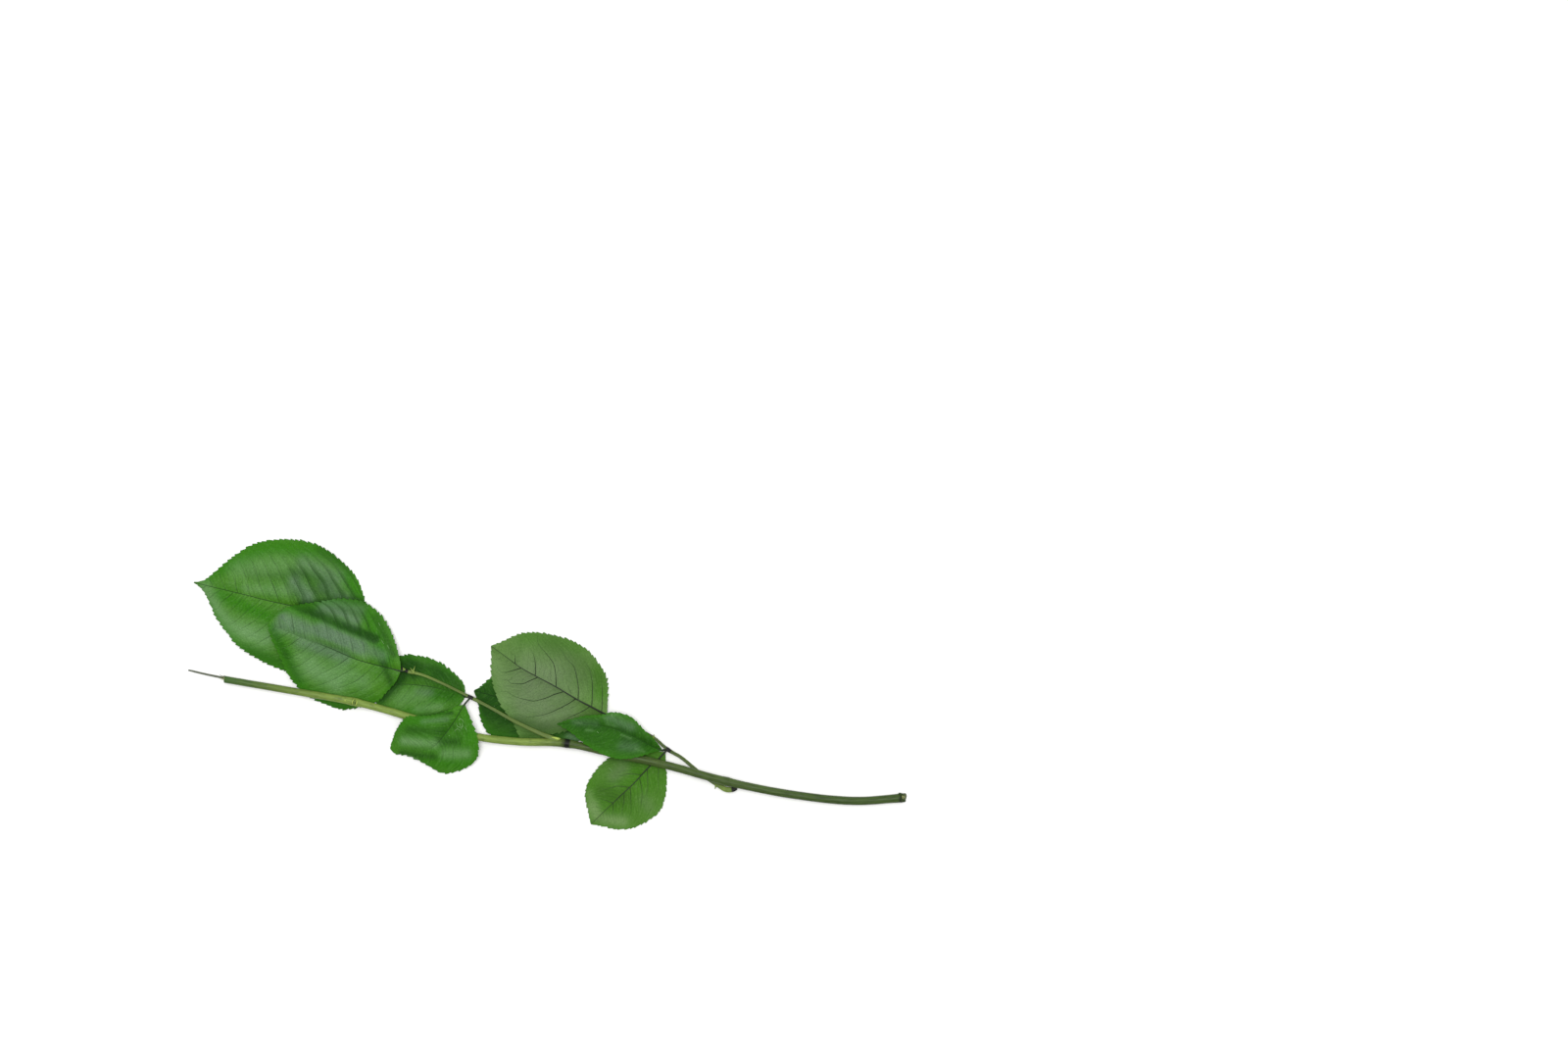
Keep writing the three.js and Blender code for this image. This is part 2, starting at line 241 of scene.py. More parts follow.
def smooth_line(points):
    """A curve through the points, as a function of the share of its length."""
    points = np.array(points, float)
    padded = np.vstack([2 * points[0] - points[1], points, 2 * points[-1] - points[-2]])
    knots = np.sqrt(np.linalg.norm(np.diff(padded, axis=0), axis=1))

    def at_knot(t):
        t = np.asarray(t, float) * (len(points) - 1)
        i = np.clip(np.floor(t).astype(int), 0, len(points) - 2)
        w = (t - i)[..., None]
        p0, p1, p2, p3 = (padded[i + k] for k in range(4))
        d0, d1, d2 = (knots[i + k][..., None] for k in range(3))
        start = ((p1 - p0) / d0 - (p2 - p0) / (d0 + d1) + (p2 - p1) / d1) * d1
        end = ((p2 - p1) / d1 - (p3 - p1) / (d1 + d2) + (p3 - p2) / d2) * d1
        bend = 3 * (p2 - p1) - 2 * start - end
        turn = 2 * (p1 - p2) + start + end
        return p1 + start * w + bend * w**2 + turn * w**3

    steps = np.linspace(0, 1, LINE_DIVISIONS + 1)
    strides = np.linalg.norm(np.diff(at_knot(steps), axis=0), axis=1)
    lengths = np.concatenate([[0], np.cumsum(strides)])

    def at(share):
        return at_knot(np.interp(np.asarray(share) * lengths[-1], lengths, steps))

    at.length = lengths[-1]
    return at


def heading(line, share, reach=1e-4):
    """The unit vector along a line at some shares of its length."""
    ahead = line(np.clip(np.asarray(share) + reach, 0, 1))
    behind = line(np.clip(np.asarray(share) - reach, 0, 1))
    way = ahead - behind
    return way / np.linalg.norm(way, axis=-1, keepdims=True)


hump = smooth_line([(0, 0, 0), (1, 1, 0), (2, 0, 0)])
print("a line through three points is", round(hump.length, 3), "long")

# %% [markdown]
# ## Running a geometry tree
# A geometry tree is run on a carrier object and its result is kept as a plain mesh, because
# later steps need real vertices and not a live modifier. The inputs are set by each
# socket's identifier: its name is only a label. `path_mesh` makes the usual carrier, a mesh
# of lines whose points hold their own thickness and tones.

# %% Running geometry trees
ATTRIBUTE_KEYS = {"FLOAT": "value", "FLOAT_VECTOR": "vector", "BOOLEAN": "value"}


def new_geometry_tree(name, inputs):
    tree = bpy.data.node_groups.new(name, "GeometryNodeTree")
    tree.interface.new_socket("Geometry", in_out="OUTPUT", socket_type="NodeSocketGeometry")
    tree.interface.new_socket("Geometry", in_out="INPUT", socket_type="NodeSocketGeometry")
    for label, (kind, value) in inputs.items():
        socket = tree.interface.new_socket(label, in_out="INPUT", socket_type="NodeSocket" + kind)
        if value is not None:
            socket.default_value = value
    return tree, add(tree, "NodeGroupInput").outputs


def named(tree, name, data_type="FLOAT"):
    inputs = {"Name": name}
    node = add(tree, "GeometryNodeInputNamedAttribute", inputs, data_type=data_type)
    return node.outputs["Attribute"]


def set_attribute(mesh, name, values, data_type="FLOAT", domain="POINT"):
    attribute = mesh.attributes.new(name, data_type, domain)
    values = np.asarray(values, bool if data_type == "BOOLEAN" else np.float32)
    attribute.data.foreach_set(ATTRIBUTE_KEYS[data_type], values.ravel())


def run_tree(name, carrier_mesh, tree, **values):
    carrier = bpy.data.objects.new("carrier", carrier_mesh)
    scene.collection.objects.link(carrier)
    modifier = carrier.modifiers.new("tree", "NODES")
    modifier.node_group = tree
    inputs = [item for item in tree.interface.items_tree if item.in_out == "INPUT"]
    sockets = {item.name: item.identifier for item in inputs}
    for label, value in values.items():
        modifier[sockets[label.replace("_", " ")]] = value
    graph = bpy.context.evaluated_depsgraph_get()
    evaluated = carrier.evaluated_get(graph)
    mesh = bpy.data.meshes.new_from_object(evaluated, preserve_all_data_layers=True, depsgraph=graph)
    mesh.name = name
    bpy.data.objects.remove(carrier)
    piece = bpy.data.objects.new(name, mesh)
    scene.collection.objects.link(piece)
    return piece


def line_edges(lines, start=0):
    """Edges that join each line's points, numbered from `start` on."""
    edges = []
    for line in lines:
        count = len(line["points"])
        edges += [(start + i, start + i + 1) for i in range(count - 1)]
        start += count
    return edges


def path_mesh(paths):
    """Lines as one mesh. Each path is a dict of points and of one value for each point."""
    points = np.vstack([path["points"] for path in paths])
    mesh = bpy.data.meshes.new("paths")
    mesh.from_pydata(points.tolist(), line_edges(paths), [])
    for name in paths[0]:
        if name != "points":
            values = np.concatenate([np.asarray(path[name], float) for path in paths])
            set_attribute(mesh, name, values, "FLOAT_VECTOR" if values.ndim == 2 else "FLOAT")
    return mesh


print("carriers hold these kinds of value:", list(ATTRIBUTE_KEYS))

# %% [markdown]
# ## The shoot tree
# The stem, the stalks, their prickles, the buds and the wire are all round shoots that
# follow a line. A bevelled curve object could do that, but it has no place for what makes a
# shoot look grown: fine ridges that run along it, a channel on top of a stalk and a slanted
# cut. This geometry tree sweeps a circle along each line and then moves the skin. Each
# vertex keeps `ring`, its place on the circle, and `along`, its distance from the start, so
# a finish can draw streaks without a seam.

# %% The shoot tree
SHOOT_SIDES = 28
RIDGES_PER_METRE = 90.0
CHANNEL_EDGE = 0.72


def ridge_offset(tree, given, along):
    """Fine ridges: the skin moves in or out by a noise that is stretched along the shoot."""
    ring = add(tree, "ShaderNodeSeparateXYZ", {0: named(tree, "ring", "FLOAT_VECTOR")}).outputs
    place = vector(
        tree,
        times(tree, ring[0], given["Ridge Scale"]),
        times(tree, ring[1], given["Ridge Scale"]),
        times(tree, along, RIDGES_PER_METRE),
    )
    ridges = calc(tree, "SUBTRACT", noise(tree, place, 1.0, 2.0), 0.5)
    depth = times(tree, ridges, given["Ridge Depth"])
    normal = add(tree, "GeometryNodeInputNormal").outputs[0]
    return scaled(tree, normal, times(tree, depth, named(tree, "skin")))


def channel_offset(tree, given, spoke):
    """A shallow channel: the skin sinks where it faces straight up."""
    unit = vector_calc(tree, "NORMALIZE", spoke)
    upward = vector_calc(tree, "DOT_PRODUCT", unit, (0.0, 0.0, 1.0))
    depth = times(tree, ramp(tree, upward, CHANNEL_EDGE, 1.0), given["Channel Depth"])
    return scaled(tree, (0.0, 0.0, -1.0), times(tree, depth, named(tree, "skin")))


def slant_offset(tree, given, spoke, along):
    """A slanted cut: near the start, one side moves forward and the other back."""
    lean = times(tree, vector_calc(tree, "DOT_PRODUCT", spoke, given["Cut Lean"]), given["Cut Slant"])
    lean = times(tree, lean, ramp(tree, along, 0.0, given["Cut Fade"], 1.0, 0.0))
    return scaled(tree, named(tree, "heading", "FLOAT_VECTOR"), lean)


def make_shoot_tree():
    tree, given = new_geometry_tree("shoot", {
        "Sides": ("Int", SHOOT_SIDES),
        "Ridge Depth": ("Float", 0.06 * MM),
        "Ridge Scale": ("Float", 2.2),
        "Channel Depth": ("Float", 0.0),
        "Cut Slant": ("Float", 0.0),
        "Cut Lean": ("Vector", (0.0, 1.0, 0.0)),
        "Cut Fade": ("Float", 5.0 * MM),
        "Material": ("Material", None),
    })
    line = add(tree, "GeometryNodeMeshToCurve", {"Mesh": given["Geometry"]}).outputs[0]
    size = {"Resolution": given["Sides"], "Radius": 1.0}
    circle = add(tree, "GeometryNodeCurvePrimitiveCircle", size).outputs["Curve"]
    place = add(tree, "GeometryNodeInputPosition").outputs[0]
    store = {"Geometry": circle, "Name": "ring", "Value": place}
    profile = add(tree, "GeometryNodeStoreNamedAttribute", store, data_type="FLOAT_VECTOR").outputs[0]
    sweep = {"Curve": line, "Profile Curve": profile, "Scale": named(tree, "thick"), "Fill Caps": True}
    skin = add(tree, "GeometryNodeCurveToMesh", sweep).outputs[0]

    along = named(tree, "along")
    spoke = vector_calc(tree, "SUBTRACT", place, named(tree, "centre", "FLOAT_VECTOR"))
    offset = ridge_offset(tree, given, along)
    offset = vector_calc(tree, "ADD", offset, channel_offset(tree, given, spoke))
    offset = vector_calc(tree, "ADD", offset, slant_offset(tree, given, spoke, along))
    skin = add(tree, "GeometryNodeSetPosition", {"Geometry": skin, "Offset": offset}).outputs[0]
    skin = add(tree, "GeometryNodeSetShadeSmooth", {0: skin, "Shade Smooth": True}).outputs[0]
    skin = add(tree, "GeometryNodeRealizeInstances", {"Geometry": skin}).outputs[0]
    finish = {"Geometry": skin, "Material": given["Material"]}
    skin = add(tree, "GeometryNodeSetMaterial", finish).outputs[0]
    add(tree, "NodeGroupOutput", {0: skin})
    return tree


shoot_tree = make_shoot_tree()
print("the shoot tree has", len(shoot_tree.nodes), "nodes")

# %% [markdown]
# ## Lines for the shoot tree
# `shoot_path` samples a line closely and gives each point its thickness, its distance from
# the start and three tones: `dark` for the black nodes and joints, `fresh` for yellow-green
# wood, where 2 is a bright bud, and `pith` for a cut face, where 1 is a pale torn thread.
# `skin` is 1 where the shoot has ridges and a channel, and 0 where it is smooth. A closed
# end is five points that follow each other within a fraction of a millimetre while the
# thickness drops to almost nothing, which gives a cut face with a soft edge. A pointed end
# just tapers.

# %% Lines for the shoot tree
CUT_FACE = [
    {"step": 0.02, "size": 0.97, "pith": 0.2},
    {"step": 0.06, "size": 0.88, "pith": 0.45},
    {"step": 0.09, "size": 0.62, "pith": 0.7},
    {"step": 0.06, "size": 0.4, "pith": 0.8},
    {"step": 0.02, "size": 0.01, "pith": 0.8},
]
NO_TONE = ((0, 0),)


def pairs_at(pairs, share):
    """Reads a list of (share, value) pairs at some shares, straight between them."""
    shares, values = zip(*pairs)
    return np.interp(share, shares, values)


def cut_face(path, end, sign):
    """The points that close a path at its start (0) or end (-1)."""
    face = {name: [] for name in path}
    reach = 0
    for ring in CUT_FACE:
        reach += ring["step"] * MM
        face["points"].append(path["points"][end] + sign * reach * path["heading"][end])
        face["thick"].append(path["thick"][end] * ring["size"])
        face["along"].append(path["along"][end] + sign * reach)
        face["pith"].append(ring["pith"])
        for name in ("heading", "dark", "fresh", "skin"):
            face[name].append(path[name][end])
    return {name: np.array(values) for name, values in face.items()}


def shoot_path(
    route, thick, steps, dark=NO_TONE, fresh=NO_TONE, cut_start=False, cut_end=False, skin=1.0
):
    line = smooth_line(np.array(route) * MM)
    share = np.linspace(0, 1, steps + 1)
    path = {
        "points": line(share),
        "heading": heading(line, share),
        "thick": pairs_at(thick, share) * MM,
        "along": share * line.length,
        "dark": pairs_at(dark, share),
        "fresh": pairs_at(fresh, share),
        "pith": np.zeros(steps + 1),
        "skin": np.full(steps + 1, skin),
    }
    if cut_start:
        face = cut_face(path, 0, -1)
        path = {name: np.concatenate([face[name][::-1], values]) for name, values in path.items()}
    if cut_end:
        face = cut_face(path, -1, 1)
        path = {name: np.concatenate([values, face[name]]) for name, values in path.items()}
    path["centre"] = path["points"].copy()
    return path


print("a cut face is made of", len(CUT_FACE), "rings")

# %% [markdown]
# ## The green wood finish
# A preserved shoot keeps an olive skin with fine streaks along it, small dark flecks and
# almost black nodes, and its cut face is dark wood with pale torn threads. The streaks come
# from a noise stretched along the shoot, read in `ring` and `along`, so they bend with it.
# The last centimetres at the top are younger and bluer. One finish serves the stem and the
# stalks, because the tones come from the lines.

# %% Green wood
WOOD_TONES = {
    "olive": colour(50, 71, 30),
    "shade": colour(31, 48, 19),
    "fresh": colour(117, 140, 62),
    "bud": colour(160, 180, 84),
    "young": colour(46, 86, 36),
    "black": colour(15, 19, 14),
    "fleck": colour(40, 55, 28),
    "pith": colour(170, 176, 120),
    "wood": colour(72, 84, 46),
}
YOUNG_FROM = 285.0
YOUNG_FULLY = 325.0
BARK_RELIEF = 0.12 * MM


def attribute_value(tree, name):
    return add(tree, "ShaderNodeAttribute", attribute_name=name).outputs["Fac"]


def skin_place(tree, fine, stretch):
    """Where a texture reads: `fine` times the place on the ring, `stretch` a millimetre along."""
    ring = add(tree, "ShaderNodeAttribute", attribute_name="ring").outputs["Vector"]
    sides = add(tree, "ShaderNodeSeparateXYZ", {0: ring}).outputs
    along = times(tree, attribute_value(tree, "along"), stretch / MM)
    return vector(tree, times(tree, sides[0], fine), times(tree, sides[1], fine), along)


def make_green_wood():
    material, tree, shader = new_finish("green_wood", 0.5, 0.2)
    streaks = noise(tree, skin_place(tree, 3.0, 0.12), 1.6, 5.0, 0.65)
    fleck_place = skin_place(tree, 2.0, 0.8)
    patches = noise(tree, fleck_place, 0.35, 3.0)
    flecks = ramp(tree, noise(tree, fleck_place, 1.9, 4.0, 0.7), 0.64, 0.74)
    along = times(tree, attribute_value(tree, "along"), 1 / MM)
    fresh, dark, pith = (attribute_value(tree, name) for name in ("fresh", "dark", "pith"))

    skin = tint(tree, ramp(tree, streaks, 0.35, 0.62), WOOD_TONES["shade"], WOOD_TONES["olive"])
    young = ramp(tree, along, YOUNG_FROM, YOUNG_FULLY, 0.0, 0.8)
    skin = tint(tree, young, skin, WOOD_TONES["young"])
    patchy = times(tree, fresh, ramp(tree, patches, 0.2, 0.55, 0.55, 1.1), clamp=True)
    patchy = times(tree, patchy, ramp(tree, streaks, 0.3, 0.6, 0.6, 1.0))
    skin = tint(tree, patchy, skin, WOOD_TONES["fresh"])
    skin = tint(tree, ramp(tree, fresh, 1.1, 1.8), skin, WOOD_TONES["bud"])
    skin = tint(tree, times(tree, flecks, 0.6), skin, WOOD_TONES["fleck"])
    frayed = times(tree, calc(tree, "SUBTRACT", streaks, 0.5), 0.5)
    black = ramp(tree, calc(tree, "ADD", dark, frayed), 0.25, 0.75)
    black = times(tree, black, ramp(tree, dark, 0.02, 0.2))
    skin = tint(tree, black, skin, WOOD_TONES["black"])
    skin = tint(tree, ramp(tree, pith, 0.2, 0.55), skin, WOOD_TONES["wood"])
    skin = tint(tree, ramp(tree, pith, 0.75, 0.9), skin, WOOD_TONES["pith"])
    tree.links.new(skin, shader.inputs["Base Color"])

    tree.links.new(ramp(tree, patches, 0.3, 0.7, 0.42, 0.6), shader.inputs["Roughness"])
    grain = times(tree, noise(tree, fleck_place, 6.0, 2.0), 0.3)
    relief = {"Height": calc(tree, "ADD", streaks, grain), "Strength": 0.5, "Distance": BARK_RELIEF}
    tree.links.new(add(tree, "ShaderNodeBump", relief).outputs[0], shader.inputs["Normal"])
    return material


green_wood = make_green_wood()
print("green wood uses", len(green_wood.node_tree.nodes), "nodes")

# %% [markdown]
# ## The main stem as a line
# The shoot rises a little from its cut base and rests on its leaves further on. It swells
# at three nodes: two that carry a leaf and one bare, with the scar of a fallen leaf. The
# skin is olive at the base, fresher past the middle and dark again at the top. The tables
# give the thickness and the tones against the share of the length, and `on_stem` finds a
# place on the skin for what grows there.

# %% Main stem line
STEM_ROUTE = [
    [162.9, -52, 2.1], [140, -53.4, 2.1], [111.5, -50.4, 2.9], [82.7, -44.6, 4.2],
    [54, -36.8, 4.5], [28.8, -31.3, 4.4], [7.7, -26.8, 4.3], [-13.5, -26.1, 4.3],
    [-31.5, -24, 4.3], [-49.5, -19, 4.6], [-76, -11.1, 4.8], [-89, -7.8, 4.8],
    [-114.5, -3.3, 4.5], [-148.2, 2.4, 3.6],
]
STEM_THICK = [
    (0, 2.06), (0.006, 2.04), (0.02, 1.88), (0.24, 1.8), (0.252, 1.95), (0.257, 2.14),
    (0.261, 2.16), (0.266, 1.96), (0.285, 1.84), (0.477, 1.75), (0.4875, 1.84), (0.492, 2.08),
    (0.4945, 1.98), (0.4985, 2.12), (0.5035, 1.9), (0.522, 1.8), (0.79, 1.65), (0.8, 1.72),
    (0.806, 1.98), (0.809, 1.84), (0.812, 1.96), (0.819, 1.75), (0.835, 1.65), (0.99, 1.55),
    (1, 1.58),
]
STEM_DARK = [
    (0, 0.65), (0.004, 0.4), (0.01, 0.1), (0.014, 0), (0.25, 0), (0.254, 0.2), (0.258, 0.42),
    (0.264, 0), (0.488, 0), (0.4905, 0.4), (0.4925, 0.95), (0.496, 0.8), (0.499, 0.56),
    (0.5015, 0.42), (0.5035, 0.4), (0.505, 0), (0.801, 0), (0.805, 0.5), (0.8065, 0.1),
    (0.811, 0.1), (0.8125, 0.45), (0.815, 0), (1, 0),
]
STEM_FRESH = [
    (0, 0.12), (0.06, 0.1), (0.1, 0.1), (0.26, 0.15), (0.37, 0.17), (0.44, 0.22), (0.49, 0.2),
    (0.505, 0.35), (0.521, 0.65), (0.545, 0.95), (0.6, 1.0), (0.7, 1.0), (0.83, 0.95),
    (0.9, 0.6), (0.96, 0.3), (1, 0.1),
]

stem_line = smooth_line(STEM_ROUTE)


def on_stem(share, aside, lift=0.0, along=0.0):
    """A place on the stem's skin: `aside` mm towards its right, seen from base to top."""
    share = share + along / stem_line.length
    forward = heading(stem_line, share)
    right = np.array([forward[1], -forward[0], 0]) / np.hypot(forward[0], forward[1])
    radius = pairs_at(STEM_THICK, share)
    up = np.array([0, 0, math.sqrt(max(radius**2 - aside**2, 0))])
    return stem_line(share) + right * aside + up + np.array([0, 0, lift])


print("the stem is", round(stem_line.length, 1), "mm long")

# %% [markdown]
# ## Torn threads, buttons and the leaf scar
# Small things sit on the shoot, and each could be sculpted by hand, but all of them are
# tiny shoots, so the same path makes them. Scissors tear pale threads out of the wood, so
# both cuts have some, from a seeded random draw. A button is a short upright shoot with a
# round top. The scar of a fallen leaf is two pale lips around two dark ones, each an arc on
# the skin.

# %% Threads, buttons and the scar
THREAD_STEPS = 6
BUTTON_STEPS = 10
BUTTON_DEPTH = 0.5
LIP_STEPS = 16
LIP_THICK = [(0, 0.1), (0.5, 0.26), (1, 0.1)]
SCAR_LIPS = [
    {"reach": 1.0, "dark": 0.0, "fresh": 2.0},
    {"reach": 0.52, "dark": 0.46, "fresh": 0.3},
]


def torn_threads(place, way, count, length, spread, seed):
    """Pale threads that stand out of a cut at `place`, mostly along `way`."""
    random = np.random.default_rng(seed)
    paths = []
    for _ in range(count):
        angle = random.uniform(0, 2 * np.pi)
        away = spread * np.array([0, np.cos(angle), np.sin(angle)]) * random.uniform(0, 1) ** 0.5
        foot = np.array(place) + away - 0.4 * np.array(way)
        lean = np.array(way) + random.normal(0, 0.3, 3)
        tip = foot + lean * length * random.uniform(0.3, 1)
        middle = (foot + tip) / 2 + random.normal(0, 0.12, 3)
        size = random.uniform(0.09, 0.2)
        thick = [(0, size), (0.7, size * 0.7), (1, 0.02)]
        path = shoot_path([foot, middle, tip], thick, THREAD_STEPS, skin=0)
        path["pith"] = path["pith"] + random.uniform(0.4, 1)
        paths.append(path)
    return paths


def button(place, size, height, dark, fresh):
    """A low round knob that faces up."""
    foot = np.array(place) - [0, 0, BUTTON_DEPTH]
    route = [foot, np.array(place) + [0, 0, height * 0.5], np.array(place) + [0, 0, height]]
    thick = [(0, size), (0.75, size), (0.9, size * 0.7), (1, 0.02)]
    return shoot_path(route, thick, BUTTON_STEPS, [(0, dark)], [(0, fresh)], skin=0)


def leaf_scar(share, size):
    """Two pale lips around two dark ones, where a leaf once fell off."""
    paths = [button(on_stem(share, 0), size * 0.3, 0.08, 0.3, 0.6)]
    turn = np.linspace(-1.2, 1.2, 9)
    for side in (-1, 1):
        for lip in SCAR_LIPS:
            reach = side * size * lip["reach"]
            arc = [on_stem(share, size * 1.4 * math.sin(a), 0.03, reach * math.cos(a)) for a in turn]
            tones = [(0, lip["dark"])], [(0, lip["fresh"])]
            paths.append(shoot_path(arc, LIP_THICK, LIP_STEPS, *tones, skin=0))
    return paths


print("a leaf scar is", len(leaf_scar(0.5, 1.0)), "tiny shoots")

# %% [markdown]
# ## The main stem
# The shoot and all that grows on it are lines of one carrier mesh, so one run of the shoot
# tree makes the whole piece. At the base a few lumps of bark were squeezed up by the cut,
# and the bud above the leaf's node is a short bright shoot.

# %% Main stem
STEM_STEPS = 320
CUT_SLANT = 0.75
CUT_LEAN = (0.0, -0.35, 0.9)
STEM_RIDGES = 0.16 * MM
SCAR_SHARE = 0.8085
PIMPLE_SHARE = 0.8225
BUD_ROUTE = [[5.7, -24.9, 5.7], [4.6, -24.6, 6.1], [3.1, -24.2, 6.2], [1.6, -24, 6]]
BUD_THICK = [(0, 0.5), (0.35, 0.55), (0.75, 0.34), (1, 0.05)]
BUD_STEPS = 16
BARK_LUMPS = [
    [(160.2, -50.4, 3.1), (161.3, -50.2, 3.3), (162.2, -50.2, 3.1)],
    [(161.4, -50.9, 3.5), (162.2, -50.7, 3.5), (163, -50.5, 3.3)],
    [(161, -52.6, 3.5), (161.8, -52.5, 3.5), (162.6, -52.7, 3.2)],
    [(162.2, -53.4, 2.6), (163, -53.3, 2.6), (163.7, -53.2, 2.4)],
]
LUMP_THICK = [(0, 0.2), (0.5, 0.7), (1, 0.3)]
LUMP_STEPS = 16
CUT_THREADS = [
    {"place": [162.4, -51.5, 2.6], "way": [0.8, 0.25, 0.5], "count": 46, "length": 1.7,
     "spread": 1.6, "seed": 3},
    {"place": [-148.3, 3.3, 4.3], "way": [-0.8, 0.25, 0.3], "count": 22, "length": 2.2,
     "spread": 0.8, "seed": 4},
]

shoot = shoot_path(
    STEM_ROUTE, STEM_THICK, STEM_STEPS, STEM_DARK, STEM_FRESH, cut_start=True, cut_end=True
)
stem_paths = [shoot]
for threads in CUT_THREADS:
    stem_paths += torn_threads(**threads)
stem_paths += leaf_scar(SCAR_SHARE, 1.0)
for lump in BARK_LUMPS:
    stem_paths.append(shoot_path(lump, LUMP_THICK, LUMP_STEPS, [(0, 0.45)], [(0, 0.1)]))
stem_paths.append(button(on_stem(PIMPLE_SHARE, -0.1), 0.34, 0.12, 0.0, 1.6))
bud_dark = [(0, 0.3), (0.2, 0)]
bud_fresh = [(0, 1.2), (0.4, 1.9), (1, 2)]
stem_paths.append(shoot_path(BUD_ROUTE, BUD_THICK, BUD_STEPS, bud_dark, bud_fresh, skin=0))

main_stem = run_tree(
    "main_stem_bark", path_mesh(stem_paths), shoot_tree,
    Ridge_Depth=STEM_RIDGES, Cut_Slant=CUT_SLANT, Cut_Lean=CUT_LEAN, Material=green_wood,
)
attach(main_stem, BODY)
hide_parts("main_stem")
print("main stem:", len(main_stem.data.polygons), "faces")

# %% [markdown]
# ## The leaf stalks
# A compound leaf has one stalk. It leaves the stem at a node, forks at a black joint for
# its first pair of leaflets and ends at the last ones. Its upper side has a shallow
# channel, and it has a few small hooked prickles, which are short shoots that taper to a
# point. The stalk of leaf B forks at `JOINT` and at `TIP_JOINT`, as shares of its length.

# %% Leaf stalks
JOINT = 0.47
TIP_JOINT = 0.806
STALKS = {
    "leaf_a_stalk": {
        "route": [
            [86.3, -47.3, 3.3], [84.3, -48.1, 2.9], [81.4, -48.1, 2.3], [78.9, -46.9, 1.8],
            [74.6, -44.4, 1.3], [70.2, -41.3, 1.25], [66.1, -37.9, 1.35], [60.8, -33.5, 1.8],
            [54.5, -29.7, 2.4], [48.2, -24.3, 2.8], [36, -18, 2.9], [27.6, -14.4, 2.9],
        ],
        "thick": [
            (0, 0.85), (0.02, 1.15), (0.06, 1.25), (0.1, 1.15), (0.135, 0.95), (0.17, 0.8),
            (0.5, 0.76), (0.53, 0.9), (0.545, 1.02), (0.578, 0.68), (0.94, 0.64), (1, 0.75),
        ],
        "dark": [
            (0, 1), (0.024, 1), (0.034, 0.5), (0.045, 0), (0.515, 0), (0.528, 0.8), (0.54, 1),
            (0.556, 0.9), (0.566, 0.2), (0.575, 0), (0.95, 0), (0.97, 0.9), (1, 1),
        ],
        "fresh": [
            (0, 0.3), (0.04, 0.7), (0.08, 0.95), (0.12, 0.6), (0.18, 0.3), (0.5, 0.2),
            (0.6, 0.2), (1, 0.2),
        ],
        "prickles": [
            [(76.9, -46.2, 1.6), (76.6, -47.2, 1.8), (76.2, -48, 2.0)],
            [(48.1, -24.2, 2.9), (48.4, -23.4, 3.4), (48.4, -22.8, 3.6)],
        ],
    },
    "leaf_b_stalk": {
        "route": [
            [4.6, -25.6, 4.8], [-3.8, -22.2, 4.6], [-15.3, -16.8, 3.9], [-26.8, -10.4, 3.4],
            [-35.7, -5.8, 3.4], [-50, 1.2, 3.2], [-58, 4.5, 3.2], [-65.7, 6.5, 3.3],
            [-69.4, 9.4, 2.7], [-72, 13, 2.3], [-77.4, 20.1, 2.1],
        ],
        "thick": [
            (0, 1.4), (0.08, 0.95), (0.4, 0.7), (JOINT - 0.012, 0.88), (JOINT, 0.92),
            (JOINT + 0.03, 0.64), (0.74, 0.6), (TIP_JOINT - 0.005, 0.78),
            (TIP_JOINT + 0.01, 0.78), (TIP_JOINT + 0.03, 0.58), (1, 0.66),
        ],
        "dark": [
            (0, 0.2), (0.05, 0), (JOINT - 0.02, 0), (JOINT - 0.01, 0.9), (JOINT + 0.008, 1),
            (JOINT + 0.015, 0.3), (JOINT + 0.022, 0), (TIP_JOINT - 0.018, 0),
            (TIP_JOINT - 0.008, 0.9), (TIP_JOINT + 0.01, 1), (1, 0.8),
        ],
        "fresh": [
            (0, 0.9), (0.06, 0.5), (0.2, 0.4), (0.42, 0.45), (0.6, 0.4), (0.74, 0.75), (1, 0.4),
        ],
        "prickles": [
            [(-61.9, 5.4, 3.8), (-61.6, 6.8, 4.3), (-60.8, 8.6, 4.5)],
            [(-61.4, 5.4, 3.9), (-62.4, 6.6, 4.3), (-63.2, 7.7, 4.4)],
            [(-66, 6.8, 3.9), (-66.2, 7.4, 4.2), (-66.5, 7.9, 4.4)],
        ],
    },
}
STALK_STEPS = 150
STALK_SIDES = 20
STALK_RIDGES = 0.1 * MM
STALK_CHANNEL = 0.3 * MM
PRICKLE_THICK = [(0, 0.75), (0.25, 0.5), (0.6, 0.26), (1, 0.04)]
PRICKLE_DARK = [(0, 0.1), (1, 0.3)]
PRICKLE_FRESH = [(0, 0.8), (1, 1)]
PRICKLE_STEPS = 10

for name, stalk in STALKS.items():
    paths = [shoot_path(stalk["route"], stalk["thick"], STALK_STEPS, stalk["dark"], stalk["fresh"])]
    for prickle in stalk["prickles"]:
        tones = PRICKLE_DARK, PRICKLE_FRESH
        paths.append(shoot_path(prickle, PRICKLE_THICK, PRICKLE_STEPS, *tones, skin=0))
    piece = run_tree(
        name + "_skin", path_mesh(paths), shoot_tree, Sides=STALK_SIDES,
        Ridge_Depth=STALK_RIDGES, Channel_Depth=STALK_CHANNEL, Material=green_wood,
    )
    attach(piece, BODY)
    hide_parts(name)
    print(name, "has", len(piece.data.polygons), "faces")

# %% [markdown]
# ## The florist's wire
# A thin steel wire was pushed into the pith to hold a flower head. It leaves the top cut
# and points on along the stem, a little thicker near the cut, and its end is simply cut
# off. It is one more shoot, smooth and without ridges, in grey metal with a dull patina.

